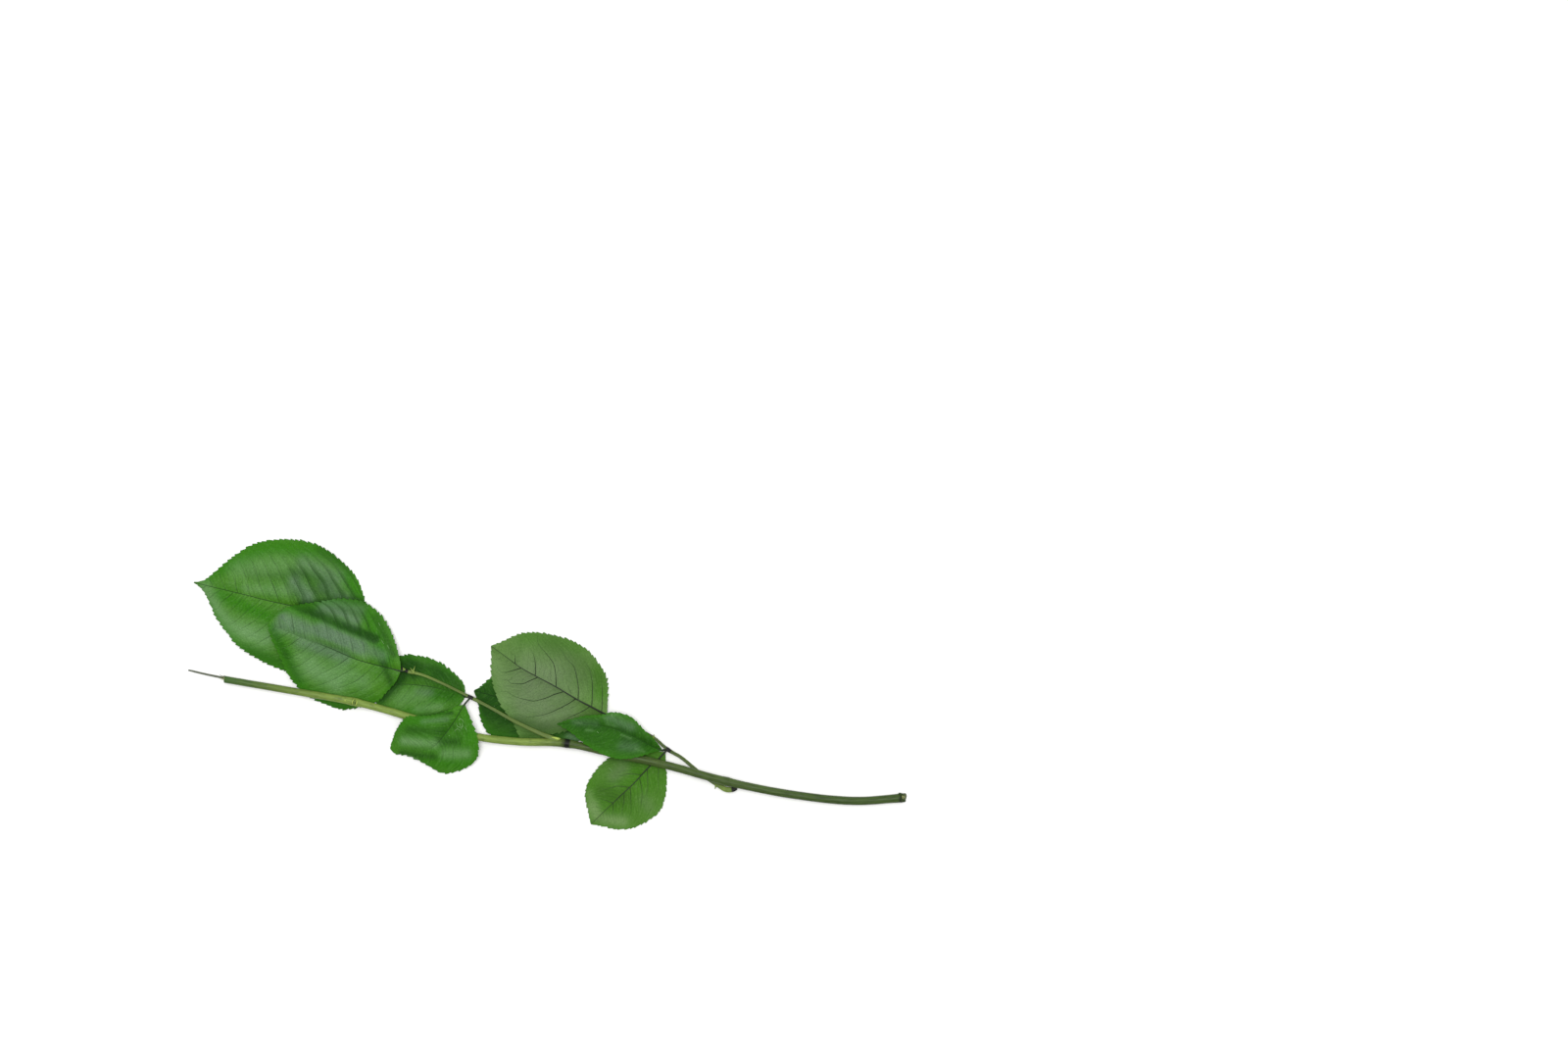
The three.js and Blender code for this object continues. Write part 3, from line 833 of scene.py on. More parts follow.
# %% Florist's wire
WIRE_ROUTE = [[-145.6, 2.7, 3.9], [-149.6, 3.3, 3.9], [-157, 4.8, 3.9], [-164.6, 6.6, 4]]
WIRE_RADIUS = 0.4
WIRE_THICK = [(0, WIRE_RADIUS * 1.25), (0.5, WIRE_RADIUS * 1.15), (1, WIRE_RADIUS)]
WIRE_STEPS = 40
WIRE_SIDES = 16


def make_wire_finish():
    material, tree, shader = new_finish("galvanised_wire", 0.45, 0.5)
    shader.inputs["Metallic"].default_value = 0.7
    patina = noise(tree, skin_place(tree, 1.0, 0.9), 1.4, 4.0, 0.7)
    metal = tint(tree, ramp(tree, patina, 0.35, 0.65), colour(62, 68, 54), colour(104, 110, 92))
    tree.links.new(metal, shader.inputs["Base Color"])
    tree.links.new(ramp(tree, patina, 0.3, 0.7, 0.36, 0.6), shader.inputs["Roughness"])
    return material


wire_path = shoot_path(WIRE_ROUTE, WIRE_THICK, WIRE_STEPS, cut_end=True, skin=0)
florist_wire = run_tree(
    "wire_pin", path_mesh([wire_path]), shoot_tree, Sides=WIRE_SIDES, Material=make_wire_finish(),
)
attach(florist_wire, BODY)
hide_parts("florist_wire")
print("wire:", len(florist_wire.data.polygons), "faces")

# %% [markdown]
# ## Where the leaflets lie
# A leaflet is a thin blade between three ribs: its midrib and its left and right edges, as
# seen from above, from base to tip. `side` says which face is up, `arch` how far each half
# rises between midrib and edge, `vein_gap` the distance between its side veins along the
# midrib, and `foot` where its short stalk grows from the leaf stalk. Where side veins are
# seen well, `veins` draws them point by point.
#
# The rest makes each leaflet its own. `creases` are folds that its neighbours press into
# it, each a line with a rise and a softness on its left and right. `pucker` is where the
# blade is quilted more deeply. It and the four tones are soft strokes, each a line, a radius
# and a strength: `fresh`, a more saturated green; `deep_and_shade`, a darker green that also
# serves as painted shade where a neighbour, a stalk or a fold casts a shadow;
# `pale_and_sheen`, a paler green and pale scratches that also serve as a painted pale sheen;
# and `bloom_and_sheen`, a grey waxy bloom that also serves as a painted grey sheen where the
# blade mirrors the lamp. `scuffs` are pale scratches.
# `tooth` and `rib` scale the teeth and the drawn veins, and `vein_tone` and `midrib_tone`
# say how dark the veins are.

# %% Leaflet tables
# Many deep strokes below are painted shade, and many pale and bloom strokes are painted sheen.
LEAFLETS = {
    "leaflet_a1": {
        "side": "upper", "arch": 0.5, "vein_gap": 4.6, "foot": [54.5, -29.7, 2.4], "tooth": 0.65,
        "midrib": [
            [52.3, -30.3, 3.3], [47, -27.9, 4.8], [40, -24, 6], [33, -21, 6.7], [26, -19, 6.8],
            [18, -17.8, 6.2], [4, -18, 4.4],
        ],
        "left": [
            [48.4, -30.8, 4.8], [44.5, -32, 6.2], [38.7, -33.4, 7.3], [33, -33.8, 7.4],
            [28.7, -33, 7.4], [23, -30.7, 7.3], [17.6, -27.5, 7.1], [10.2, -21.6, 5.6],
        ],
        "right": [
            [50.2, -26.9, 4.6], [44.2, -20.7, 6], [38, -14.6, 7], [30.5, -12.4, 7.6],
            [26, -13.4, 7.2], [18, -14, 6.4], [7.6, -16.6, 4.8],
        ],
        "vein_tone": 0.5, "midrib_tone": [(0, 0.9), (0.15, 0.5), (1, 0.5)],
        # These bloom strokes paint grey sheen.
        "bloom_and_sheen": [
            (38, -19, 28, -15, 2.2, 0.5), (22, -17.5, 12, -17, 1.6, 0.3),
            (40, -28.5, 34, -28, 2.4, 0.35),
        ],
        "deep_and_shade": [
            (50, -30, 8, -19, 14, 0.6), (46, -27, 36, -25, 3, 0.5),
            (34, -20.5, 14, -18.6, 1.6, 0.5),
        ],
        "fresh": [(50, -30, 8, -19, 14, 0.9)],
        "pale_and_sheen": [
            (17.6, -20.6, 20.6, -20.8, 0.6, 0.4), (12.8, -17.4, 15.4, -17.6, 0.5, 0.5),
            (27, -17.6, 31, -19, 0.5, 0.4),
            (33.7, -22.8, 38, -24.6, 0.5, 0.4), (29.4, -13.2, 32, -13.4, 0.6, 0.4),
            (44, -30.5, 40, -29, 0.7, 0.3),
        ],
        "scuffs": [[(22.5, -21.1), (23.4, -22.1)], [(29.2, -12.9), (29.4, -14.6)]],
    },
    "leaflet_a2": {
        "side": "under", "arch": -0.5, "vein_gap": 4.8, "foot": [54.5, -29.7, 2.4], "tooth": 0.8,
        "rib": 0.75,
        "midrib": [
            [53.5, -31, 2], [50.4, -34.2, 1.6], [46.4, -37.6, 1.6], [39.2, -45.2, 3.4],
            [33.1, -50.9, 4], [24.7, -59, 2.4], [19.4, -64.2, 0.7],
        ],
        "left": [
            [53.8, -36.5, 1.3], [54.2, -44.5, 0.8], [53.3, -52.4, 1.4], [50.6, -58.5, 1.6],
            [45.8, -62.4, 1], [39.2, -65.7, 0.5], [31.3, -66.6, 0.4], [25, -65.2, 0.4],
        ],
        "right": [
            [47, -30.6, 1.3], [36, -30.2, 0.8], [28.3, -33.4, 0.6], [23.4, -37.4, 0.8],
            [18, -45.2, 1.6], [16.8, -50.6, 1.4], [18, -58, 0.7],
        ],
        "veins": [
            [(51.4, -33), (50.4, -38.3), (50.3, -48), (49.4, -49.7)],
            [(45.3, -38.6), (45.4, -48), (44.2, -51.2), (43.1, -51.7)],
            [(41.6, -42.6), (42.8, -48), (42.7, -53.7), (41.9, -57.7), (41.4, -58.9)],
            [(37.6, -46.7), (37.6, -59.5), (36.5, -60.6)],
            [(34.9, -49.4), (34.5, -54.6), (33.6, -58.3), (33.5, -60.3)],
            [(29.9, -54), (29.5, -58.3), (29.3, -60.3)],
            [(47.8, -36.2), (37.4, -35.1), (32.8, -36.2), (29.3, -38.3)],
            [(42.6, -41.4), (37.4, -40.9), (34.2, -41.5), (30.8, -43), (29.6, -43.1)],
            [(37.2, -47), (31.6, -46.6), (27.3, -47.7), (22.5, -49.1)],
            [(29.8, -54.2), (26.7, -53.1), (23, -52.3)],
        ],
        "bloom_and_sheen": [(34, -39, 30, -42, 3, 0.5), (44, -53, 46, -56, 3, 0.3)],
        "pale_and_sheen": [
            (26, -62, 34, -63, 2.8, 0.9), (20, -56, 22, -60, 3, 1.0), (18.5, -50, 20, -56, 2, 0.6),
        ],
        "deep_and_shade": [(40, -34, 28, -34, 2.5, 0.6), (24, -49, 34, -52, 4, 0.5)],
        "fresh": [(46, -40, 26, -58, 22, 0.85), (19, -46, 19, -52, 4, 0.8)],
        "scuffs": [[(27.5, -38.2), (29.4, -40)]],
    },
    "leaflet_a3": {
        "side": "under", "arch": -0.8, "vein_gap": 9.6, "foot": [27.6, -14.4, 2.9],
        "midrib": [
            [26.9, -14.1, 3], [20.3, -10.4, 4.4], [13, -6.5, 5.4], [4.7, -1.4, 6.2], [-5, 3.8, 6.2],
            [-12.2, 7.7, 5.2], [-19.4, 12.8, 3.4], [-26.4, 17.6, 1.2],
        ],
        "left": [
            [23.4, -17, 2.4], [18, -19.6, 1.9], [9.5, -21.3, 1.8], [0.5, -23.2, 1.8],
            [-6, -26.4, 1.8], [-12.6, -25, 1.8], [-15.8, -18.8, 1.8], [-22.3, -8.9, 1.8],
            [-24.9, -2.3, 1.7], [-26.4, 5, 1.6], [-26.3, 12, 1],
        ],
        "right": [
            [27.2, -7, 2.6], [27.3, -1, 1.8], [26.4, 3.8, 1.2], [19, 14.6, 0.6], [10.7, 20, 0.8],
            [-4.4, 23.7, 1.4], [-13, 23.2, 1], [-21.9, 19.4, 0.8],
        ],
        "veins": [
            [(24.5, -12.6), (24.7, -3.7), (24.1, 3.7)],
            [(20, -10.2), (20.1, 0), (19.3, 5.2), (17.4, 9.7)],
            [(13.9, -6.9), (13.7, 0), (12.2, 6.7), (11.4, 8.6), (8.5, 11.6), (5.4, 16.4)],
            [(3.8, -1), (3.4, 5.2), (2.5, 9.3), (1.4, 11.2), (-1.6, 14.9), (-4.6, 18.6), (-5, 22)],
            [(-5.7, 4.2), (-5.8, 9.7), (-6.8, 13.8), (-8, 16)],
            [(-15.1, 9.6), (-15.2, 14.2)],
            [(19.3, -9.9), (15.5, -12.3), (9.9, -14.9), (4.3, -17.6)],
            [
                (12.8, -6.4), (8.8, -9), (3.6, -11.6), (-0.9, -13.5), (-5, -14.4), (-9.9, -14.9),
                (-12.8, -14.2),
            ],
            [
                (7.4, -3), (2.8, -4.5), (-1.3, -6.2), (-6.8, -7.5), (-9.1, -7.1),
                (-13.2, -6.2), (-16.6, -4.9), (-18.5, -3.4), (-21.8, -3.4),
            ],
            [
                (-4.6, 3.5), (-8.4, 1.8), (-11.3, 0.5), (-14.3, 0.4), (-16.9, 0.5), (-18.5, 1.8),
                (-21.8, 2.6),
            ],
            [(-12.2, 7.7), (-15.4, 6.7), (-19.5, 5.6), (-21.8, 5.8), (-22.9, 7.1)],
        ],
        # This bloom stroke paints a grey sheen over the middle of the blade.
        "bloom_and_sheen": [(0, 0, -8, 2, 14, 0.85), (6, -14, -10, -10, 7, 0.7)],
        "pale_and_sheen": [(-24, 10, -20, -6, 4, 0.6)],
        # Painted shade along the lower margin, under the leaf stalk and the stem; the other deep
        # strokes darken the green.
        "deep_and_shade": [
            (2, 18, 22, 3, 6, 0.45), (-14, -17, 8, -20.5, 3, 1.0), (-10, -24, 2, -21, 3, 0.7),
            (10, 6, 14, 2, 5, 0.3),
        ],
        "fresh": [(24, -4, 22, 6, 4, 0.8), (12, 17, -10, 21, 5, 0.6)],
    },
    "leaflet_a4": {
        "side": "upper", "arch": 0.2, "vein_gap": 6, "foot": [27.6, -14.4, 2.9],
        "midrib": [
            [27, -15.2, 1.9], [20.3, -15.3, 1.2], [13.5, -14.4, 0.8], [-4.5, -11.3, 0.6],
            [-20.2, -6.8, 0.6], [-34.2, -2.9, 1],
        ],
        "left": [
            [20.3, -22.6, 0.8], [13.5, -26.2, 0.6], [6.8, -26.6, 0.5], [-6.8, -27, 0.4],
            [-20.3, -26, 0.5], [-27.9, -22.3, 0.6], [-31.4, -14.9, 0.7], [-32.2, -9.7, 0.8],
        ],
        "right": [
            [18, -7.7, 0.6], [2.3, 1.4, 0.4], [-13.5, 4.5, 0.4], [-26.8, 2.7, 0.4],
            [-31, -0.8, 0.7],
        ],
        # The bloom and pale strokes paint a grey sheen on the strip beside the stem.
        "bloom_and_sheen": [(10, -25.2, 22, -26.5, 2.2, 1.0)],
        "pale_and_sheen": [(10, -25.4, 20, -26.6, 2.2, 1.0)],
        # This stroke covers the whole leaflet and paints shade: it lies under leaflet A3.
        "deep_and_shade": [(20, -14, -30, -8, 30, 1.0)],
        "scuffs": [[(-25.2, -9.7), (-24.8, -10.1)], [(-20, -16), (-19.6, -16.3)]],
    },
    "leaflet_b1": {
        "side": "upper", "arch": 0.8, "vein_gap": 5, "foot": [-35.7, -5.9, 3.4],
        "vein_tone": 0.6,
        "midrib_tone": [(0, 0.9), (0.4, 0.75), (0.56, 0.35), (0.7, 0.15), (1, 0.1)],
        "midrib": [
            [-38.3, -9, 4.4], [-39.6, -11.2, 5], [-42.5, -16.2, 6.6], [-47.7, -23.4, 7.4],
            [-52.6, -28.4, 6.8], [-59.4, -30.6, 5], [-66.6, -30.6, 2.8], [-72.7, -29.3, 1.2],
        ],
        "left": [
            [-36.9, -12, 5], [-33, -21, 7.2], [-31.6, -28.5, 6.4], [-32.7, -33.8, 4.2],
            [-35.8, -37, 2.8], [-41, -39.6, 1.4], [-48.7, -40.7, 0.9], [-56.5, -36.4, 2.4],
            [-64.7, -32.6, 1.8], [-70.6, -31.8, 0.9],
        ],
        "right": [
            [-41.6, -9.9, 4.9], [-46.4, -12, 6], [-52.8, -13.7, 7.4], [-59.5, -14, 7.6],
            [-64.7, -14.8, 7.4], [-67.3, -17.3, 6.2], [-69.9, -21.5, 3.6], [-71.6, -25.6, 1.9],
        ],
        # The bloom and pale strokes paint grey sheen.
        "bloom_and_sheen": [(-57, -16.6, -46, -15.6, 1.2, 0.4)],
        "pale_and_sheen": [(-66, -25.6, -52, -27, 2.2, 0.9), (-47, -31.5, -37, -31.5, 2.4, 0.8)],
        # The first deep stroke is painted shade under the rolled upper margin; the others darken bands
        # of the blade.
        "deep_and_shade": [
            (-60, -13.8, -44, -12.8, 1.1, 0.8), (-67, -31.5, -52, -33, 1.8, 0.7),
            (-64, -20.3, -48, -21.3, 2.2, 0.6),
            (-50, -26, -42, -26, 2.6, 0.7), (-46, -18, -40, -20, 3, 0.4),
        ],
        "fresh": [
            (-66, -22, -38, -24, 14, 0.7), (-58, -36, -36, -36, 3.2, 1.0),
            (-68, -17, -58, -16.5, 2.6, 0.9),
            (-36, -12, -34, -28, 3.4, 0.8),
        ],
        "scuffs": [
            [(-40.9, -16.4), (-40.2, -15.5), (-39.1, -15.9), (-38.3, -17.2)],
            [(-38.6, -18.4), (-39.9, -19.4), (-41.4, -18.6), (-41.8, -17.1)],
            [
                (-42.5, -21), (-41.2, -20.1), (-39.8, -20.9)], [(-39.2, -17.3), (-38.9, -18.9),
                (-39.8, -20.2),
            ],
            [(-45.2, -22.9), (-44.8, -23.3)], [(-40.6, -17.2), (-39.8, -18.4), (-40.4, -19.4)],
            [(-37.8, -19.2), (-37.1, -20.6)], [(-66.4, -32.2), (-62.4, -33.2), (-58.6, -34.9)],
        ],
    },
    "leaflet_b2": {
        "side": "upper", "arch": 0.3, "vein_gap": 5, "foot": [-35.7, -5.9, 3.4],
        "vein_tone": 0.7, "midrib_tone": [(0, 0.2), (0.25, 0.4), (0.4, 0.8), (1, 0.8)],
        "midrib": [
            [-38.2, -5.8, 1.6], [-43, -3.9, 1.4], [-53, -1.4, 1], [-59.2, -0.5, 0.8],
            [-69.8, -0.1, 0.7], [-78.8, -2.3, 0.7],
        ],
        "left": [
            [-40.6, -9.2, 1.7], [-45.8, -13.2, 1.5], [-54.2, -16.4, 1.1], [-62, -15.5, 0.7],
            [-70.7, -14.1, 0.5], [-75.4, -12.4, 0.5], [-79.2, -9, 0.5],
        ],
        "right": [
            [-38.6, -1, 1.6], [-39.9, 1.6, 1.6], [-46.8, 8, 1.2], [-52.7, 11.3, 1],
            [-63.7, 13.6, 0.9], [-68.9, 12.6, 0.8], [-75, 8.1, 0.6], [-78.6, 2.7, 0.6],
        ],
        # The bloom and pale strokes paint grey sheen.
        "bloom_and_sheen": [(-60, -3.4, -54, -4, 1.6, 0.3)],
        "pale_and_sheen": [(-68, -7, -57, -5, 3.6, 0.35), (-60, -11.5, -50, -10, 1.8, 0.5)],
        # The strokes along the lower margin and along the left tip paint the shade that leaflets B1
        # and B3 cast; the others darken the upper half.
        "deep_and_shade": [
            (-69, 13, -62, 7, 4.5, 1.0, 4), (-40, 2, -66, 11, 7, 0.75),
            (-64, -16.4, -43, -12.2, 1.3, 0.9),
            (-77, -7, -64, 6, 3, 1.0), (-58, -3, -44, -5.5, 2.6, 0.45),
        ],
        "fresh": [
            (-52, -5, -41, -5, 4, 1.0), (-46, 4, -54, 6, 5, 0.9), (-64, -12, -58, -12, 2.4, 0.6),
        ],
    },
    "leaflet_b3": {
        "side": "upper", "arch": 1, "vein_gap": 6, "foot": [-65.7, 6.3, 3.3],
        "midrib": [
            [-67.5, 6.2, 4.3], [-74.3, 7.9, 4.6], [-87.8, 11.7, 5], [-101.3, 17.5, 5.4],
            [-111.4, 21.2, 5.6], [-120.6, 25.2, 5.6], [-128.3, 27.9, 5.2],
        ],
        "left": [
            [-69.8, 1.4, 3.4], [-74.3, -3.6, 2.4], [-78.4, -7.8, 1.8], [-89.1, -11, 1.2],
            [-95, -11.5, 0.9], [-101.3, -9.6, 0.8], [-108.9, -6.3, 0.9], [-114.8, -1.4, 1.2],
            [-118.8, 3.6, 2.4], [-124.2, 15.8, 4.4], [-126.8, 21.8, 4.9],
        ],
        "right": [
            [-67.5, 9.8, 5.3], [-69.3, 17.1, 4.7], [-71.2, 22.5, 4.1], [-75.7, 30.6, 3],
            [-83.7, 37.4, 3.2], [-94.5, 39.4, 4.2], [-104.7, 38, 4.4], [-119, 35.4, 4.8],
            [-124.6, 32, 5],
        ],
        "midrib_tone": [(0, 1), (0.5, 0.9), (0.68, 0.4), (1, 0.2)],
        "creases": [(-118.3, 35.3, -80.5, 18.9, 1.6, 2.6, 13)],
        "pucker": [(-104, 36, -84, 28, 6, 1.1)],
        # The bloom and pale strokes paint grey sheen on both sides of the fold and around the midrib.
        "bloom_and_sheen": [
            (-121, 31, -113, 27, 3, 0.9), (-122, 27, -103.5, 24.5, 3.4, 0.8),
            (-103.5, 25, -86, 17.5, 3.4, 1.0, 4), (-103, 36, -88, 29.5, 2.6, 0.8),
            (-103, 38.6, -86, 34.5, 2.4, 0.5),
            (-113, 19.5, -93, 12.5, 3.4, 0.75), (-85, 17.5, -76, 13.5, 2.8, 0.6),
        ],
        "pale_and_sheen": [
            (-109, 8, -97, 1, 5, 1.0), (-96, 7, -85, 1, 4, 0.6), (-91, 19, -84, 14, 2.6, 0.7),
            (-118, 28.5, -109, 24, 2.6, 0.7), (-114, 13, -108, 10, 2.6, 0.5),
        ],
        # The first deep stroke paints shade on the steep flank of the crease; the strokes along the
        # margins paint shade at the edges.
        "deep_and_shade": [
            (-116, 37, -79, 21, 2.3, 1.0, 4), (-108, 38, -94, 34, 2, 0.6),
            (-101, 39.6, -84, 37.6, 2.2, 0.8),
            (-106, 17.5, -93, 14.5, 2.4, 0.5), (-114, -8, -88, -12.5, 3.4, 0.9),
            (-75.4, 10, -71.6, 0, 2, 0.8),
            (-125.4, 24, -120.4, 14, 2.3, 0.4), (-120.4, 14, -114.6, 2, 2.3, 0.5),
            (-78.6, 31, -70.6, 14, 1.8, 0.7), (-110, 37, -86, 33, 3.4, 0.6),
        ],
        "fresh": [
            (-126.4, 26, -120.4, 14, 3.2, 1.0), (-120.4, 14, -114, 0, 3.2, 1.0),
            (-114, -3, -96, -10, 3, 0.9), (-82, 32, -74, 12, 4.5, 0.9),
            (-120, 36, -79, 21, 3, 0.8),
        ],
        "scuffs": [
            [
                (-77.8, 28.5), (-76.9, 26.9)], [(-76.4, 20.6), (-75, 18.6)], [(-73.6, 18.2),
                (-72.6, 16.4),
            ],
        ],
    },
    "leaflet_b5": {
        "side": "upper", "arch": 1.2, "vein_gap": 6.4, "foot": [-77.4, 20.1, 2.1],
        "midrib": [
            [-77.9, 20.7, 1.9], [-87.8, 26.1, 1.8], [-96.8, 30.2, 1.9], [-108, 33.8, 2.2],
            [-117.5, 36, 2.6], [-128.3, 38.4, 3], [-141.8, 41.8, 3], [-154.6, 44.8, 2],
            [-163, 46.8, 0.5],
        ],
        "left": [
            [-81.2, 17.1, 1.6], [-89.1, 9.9, 0.8], [-99, 4.5, 0.5], [-110.3, 3.6, 0.4],
            [-120.5, 6, 0.5], [-128.3, 9, 1], [-141.8, 17.1, 1.8], [-147.2, 23.2, 1.4],
            [-152.6, 30.6, 0.8], [-157.2, 40.6, 0.5], [-159.8, 44.4, 0.5],
        ],
        "right": [
            [-79.9, 25.8, 1.6], [-84.1, 38.1, 0.7], [-87.8, 48.2, 0.8], [-92.5, 54.2, 1.2],
            [-104.7, 63.4, 2], [-117.5, 66.4, 1.6], [-134.4, 64.7, 0.6], [-145.1, 58.3, 0.6],
            [-151.9, 52.7, 1], [-157.2, 48.3, 0.8], [-159.8, 47.2, 0.6],
        ],
        "pucker": [(-108, 48, -94, 44, 9, 1.3)],
        # The bloom and pale strokes paint grey sheen.
        "bloom_and_sheen": [
            (-116, 47, -110, 41, 3.2, 0.8), (-112, 56, -97, 49, 4, 0.55),
            (-102, 45, -94, 40, 3.6, 0.4),
        ],
        "pale_and_sheen": [
            (-138, 44, -119, 43, 2.6, 0.5), (-142, 53, -122, 55, 5, 0.45),
            (-148, 27, -130, 21, 4.6, 1.0), (-158, 44, -148, 27, 3.6, 0.9),
            (-120, 28, -108, 22, 4, 0.4),
        ],
        # The stroke along leaflet B3's edge paints the shade that it casts; the others darken the
        # green.
        "deep_and_shade": [
            (-116, 52, -100, 47, 3, 0.5), (-140, 16, -120, 8, 3, 0.6), (-104, 44, -92, 38, 4, 0.7),
            (-118, 44, -110, 39, 3, 0.5), (-113, 36.8, -86, 38, 2.4, 1.0),
            (-104, 62, -91, 53, 3, 0.9),
            (-137, 51, -115, 50, 3, 0.4), (-137, 15, -128, 10.5, 2.4, 0.6),
        ],
        "fresh": [
            (-158, 49, -133, 62, 4, 1.0), (-131, 63, -106, 62, 4, 1.0),
            (-151, 41, -126, 30, 3.6, 1.0),
            (-146, 19, -124, 9, 2.6, 0.8), (-92, 50, -84, 34, 3.4, 1.0),
        ],
        "scuffs": [[(-114.9, 53.9), (-114.1, 53.2)]],
    },
}
print("leaflets:", len(LEAFLETS))

# %% [markdown]
# ## The veins as a rule
# A rose leaflet's side veins leave the midrib at about 60 degrees, bend towards the tip and
# turn along the margin. Drawing them one by one would take hundreds of points. Instead each
# point of the blade gets a number, its vein phase, which is whole exactly on a vein: the
# distance along the midrib, less the way that a vein has drifted forward at this distance
# from it, over the gap between veins. The same number then shapes the quilted surface,
# places the raised ribs underneath and draws the fine lines in the finish.

# %% Vein rule
VEIN_SLOPE = 0.6
VEIN_BEND = 0.38
MARGIN_TURN = 0.75
MARGIN_TURN_POWER = 9
RIGHT_SIDE_SHIFT = 0.4


def vein_phase(along, out, reach, half_width, gap):
    """The vein phase of each point, and the distance between veins across them there."""
    q = np.abs(out) / half_width
    drift = half_width * (VEIN_SLOPE * q + VEIN_BEND * q**3)
    drift = drift + MARGIN_TURN * gap * reach**MARGIN_TURN_POWER
    slope = VEIN_SLOPE + 3 * VEIN_BEND * q**2
    return (along - drift) / gap, gap / np.sqrt(1 + slope**2)


print("veins turn forward by", MARGIN_TURN, "gaps at the margin")

# %% [markdown]
# ## Ripples, strokes and creases
# A real leaf is never even: it waves, its green is patchy, and what lay on it left folds.
# Three soft shapes make each blade its own, from nothing but a point's place. Ripples are
# a few sine waves in random directions, from a seed, so they come out the same each time.
# A stroke is a fuzzy line that paints a tone. A crease is a ridge along a line, and its two
# slopes can differ in softness.

# %% Soft shapes
RIPPLE_WAVES = 7
STROKE_FADE = 2.0
CREASE_END = 5.0


def ripples(x, y, seed, wavelength):
    """Smooth random waves from -1 to 1, the same each time for one seed."""
    random = np.random.default_rng(seed)
    total = np.zeros(np.broadcast(x, y).shape)
    for _ in range(RIPPLE_WAVES):
        angle = random.uniform(0, 2 * np.pi)
        length = wavelength * random.uniform(0.6, 1.6)
        phase = random.uniform(0, 2 * np.pi)
        total += np.sin(2 * np.pi * (x * np.cos(angle) + y * np.sin(angle)) / length + phase)
    return total / np.sqrt(RIPPLE_WAVES) / 1.5


def stroke(x, y, line):
    """How strongly a soft stroke covers each point. A seventh number above 2 crisps its edge."""
    x0, y0, x1, y1, radius, strength, *crisp = line
    fade = crisp[0] if crisp else STROKE_FADE
    way = np.array([x1 - x0, y1 - y0])
    share = ((x - x0) * way[0] + (y - y0) * way[1]) / max(way @ way, 1e-9)
    share = np.clip(share, 0, 1)
    distance = np.hypot(x - x0 - share * way[0], y - y0 - share * way[1])
    return strength * np.exp(-((distance / radius) ** fade))


def crease_rise(x, y, crease):
    """How far a crease lifts each point."""
    x0, y0, x1, y1, rise, left_soft, right_soft = crease
    way = np.array([x1 - x0, y1 - y0])
    length = np.linalg.norm(way)
    way = way / length
    along = (x - x0) * way[0] + (y - y0) * way[1]
    aside = (y - y0) * way[0] - (x - x0) * way[1]
    soft = np.where(aside > 0, left_soft, right_soft)
    end = np.maximum(np.maximum(-along, along - length), 0)
    return rise * np.exp(-((aside / soft) ** 2)) * np.exp(-((end / CREASE_END) ** 2))


print("a stroke covers its own line by", stroke(0.0, 0.0, (0, 0, 1, 0, 1, 0.5)))

# %% [markdown]
# ## One blade as a grid
# A leaflet is an oval blade that bends both ways. An outline could be filled with
# triangles, but a grid of rows from edge to edge across the midrib is easier to shape by
# formula, and its rows are close enough for each tooth of the margin to get eight of them.
# The height follows the three ribs and the arch. Every point also learns its place in the
# leaflet: its share of the way to the tip, its reach from midrib to margin, its distances
# along and out, and its vein phase.

# %% Blade grid
TOOTH_PITCH = 2.6
ROWS_PER_TOOTH = 8
COLUMN_STEP = 0.75
FEWEST_COLUMNS = 10
NECK_HALF_WIDTH = 0.15
TIP_HALF_WIDTH = 0.1
VEIN_WANDER = 0.1
WANDER_LENGTH = 14


def blade_columns(half_width):
    """Places across one half from 0 to 1, closer at the midrib and at the margin."""
    count = max(FEWEST_COLUMNS, round(half_width / COLUMN_STEP))
    even = np.linspace(0, 1, count + 1)
    inner = [0.35 * even[1], 0.7 * even[1]]
    outer = [1 - 0.3 * even[1], 1 - 0.65 * even[1]]
    return np.sort(np.concatenate([even, inner, outer]))


def by_side(is_left, lines, read):
    """Reads the left line on the left half of the grid and the right line on the right half."""
    return np.where(is_left, read(lines["left"])[:, None], read(lines["right"])[:, None])


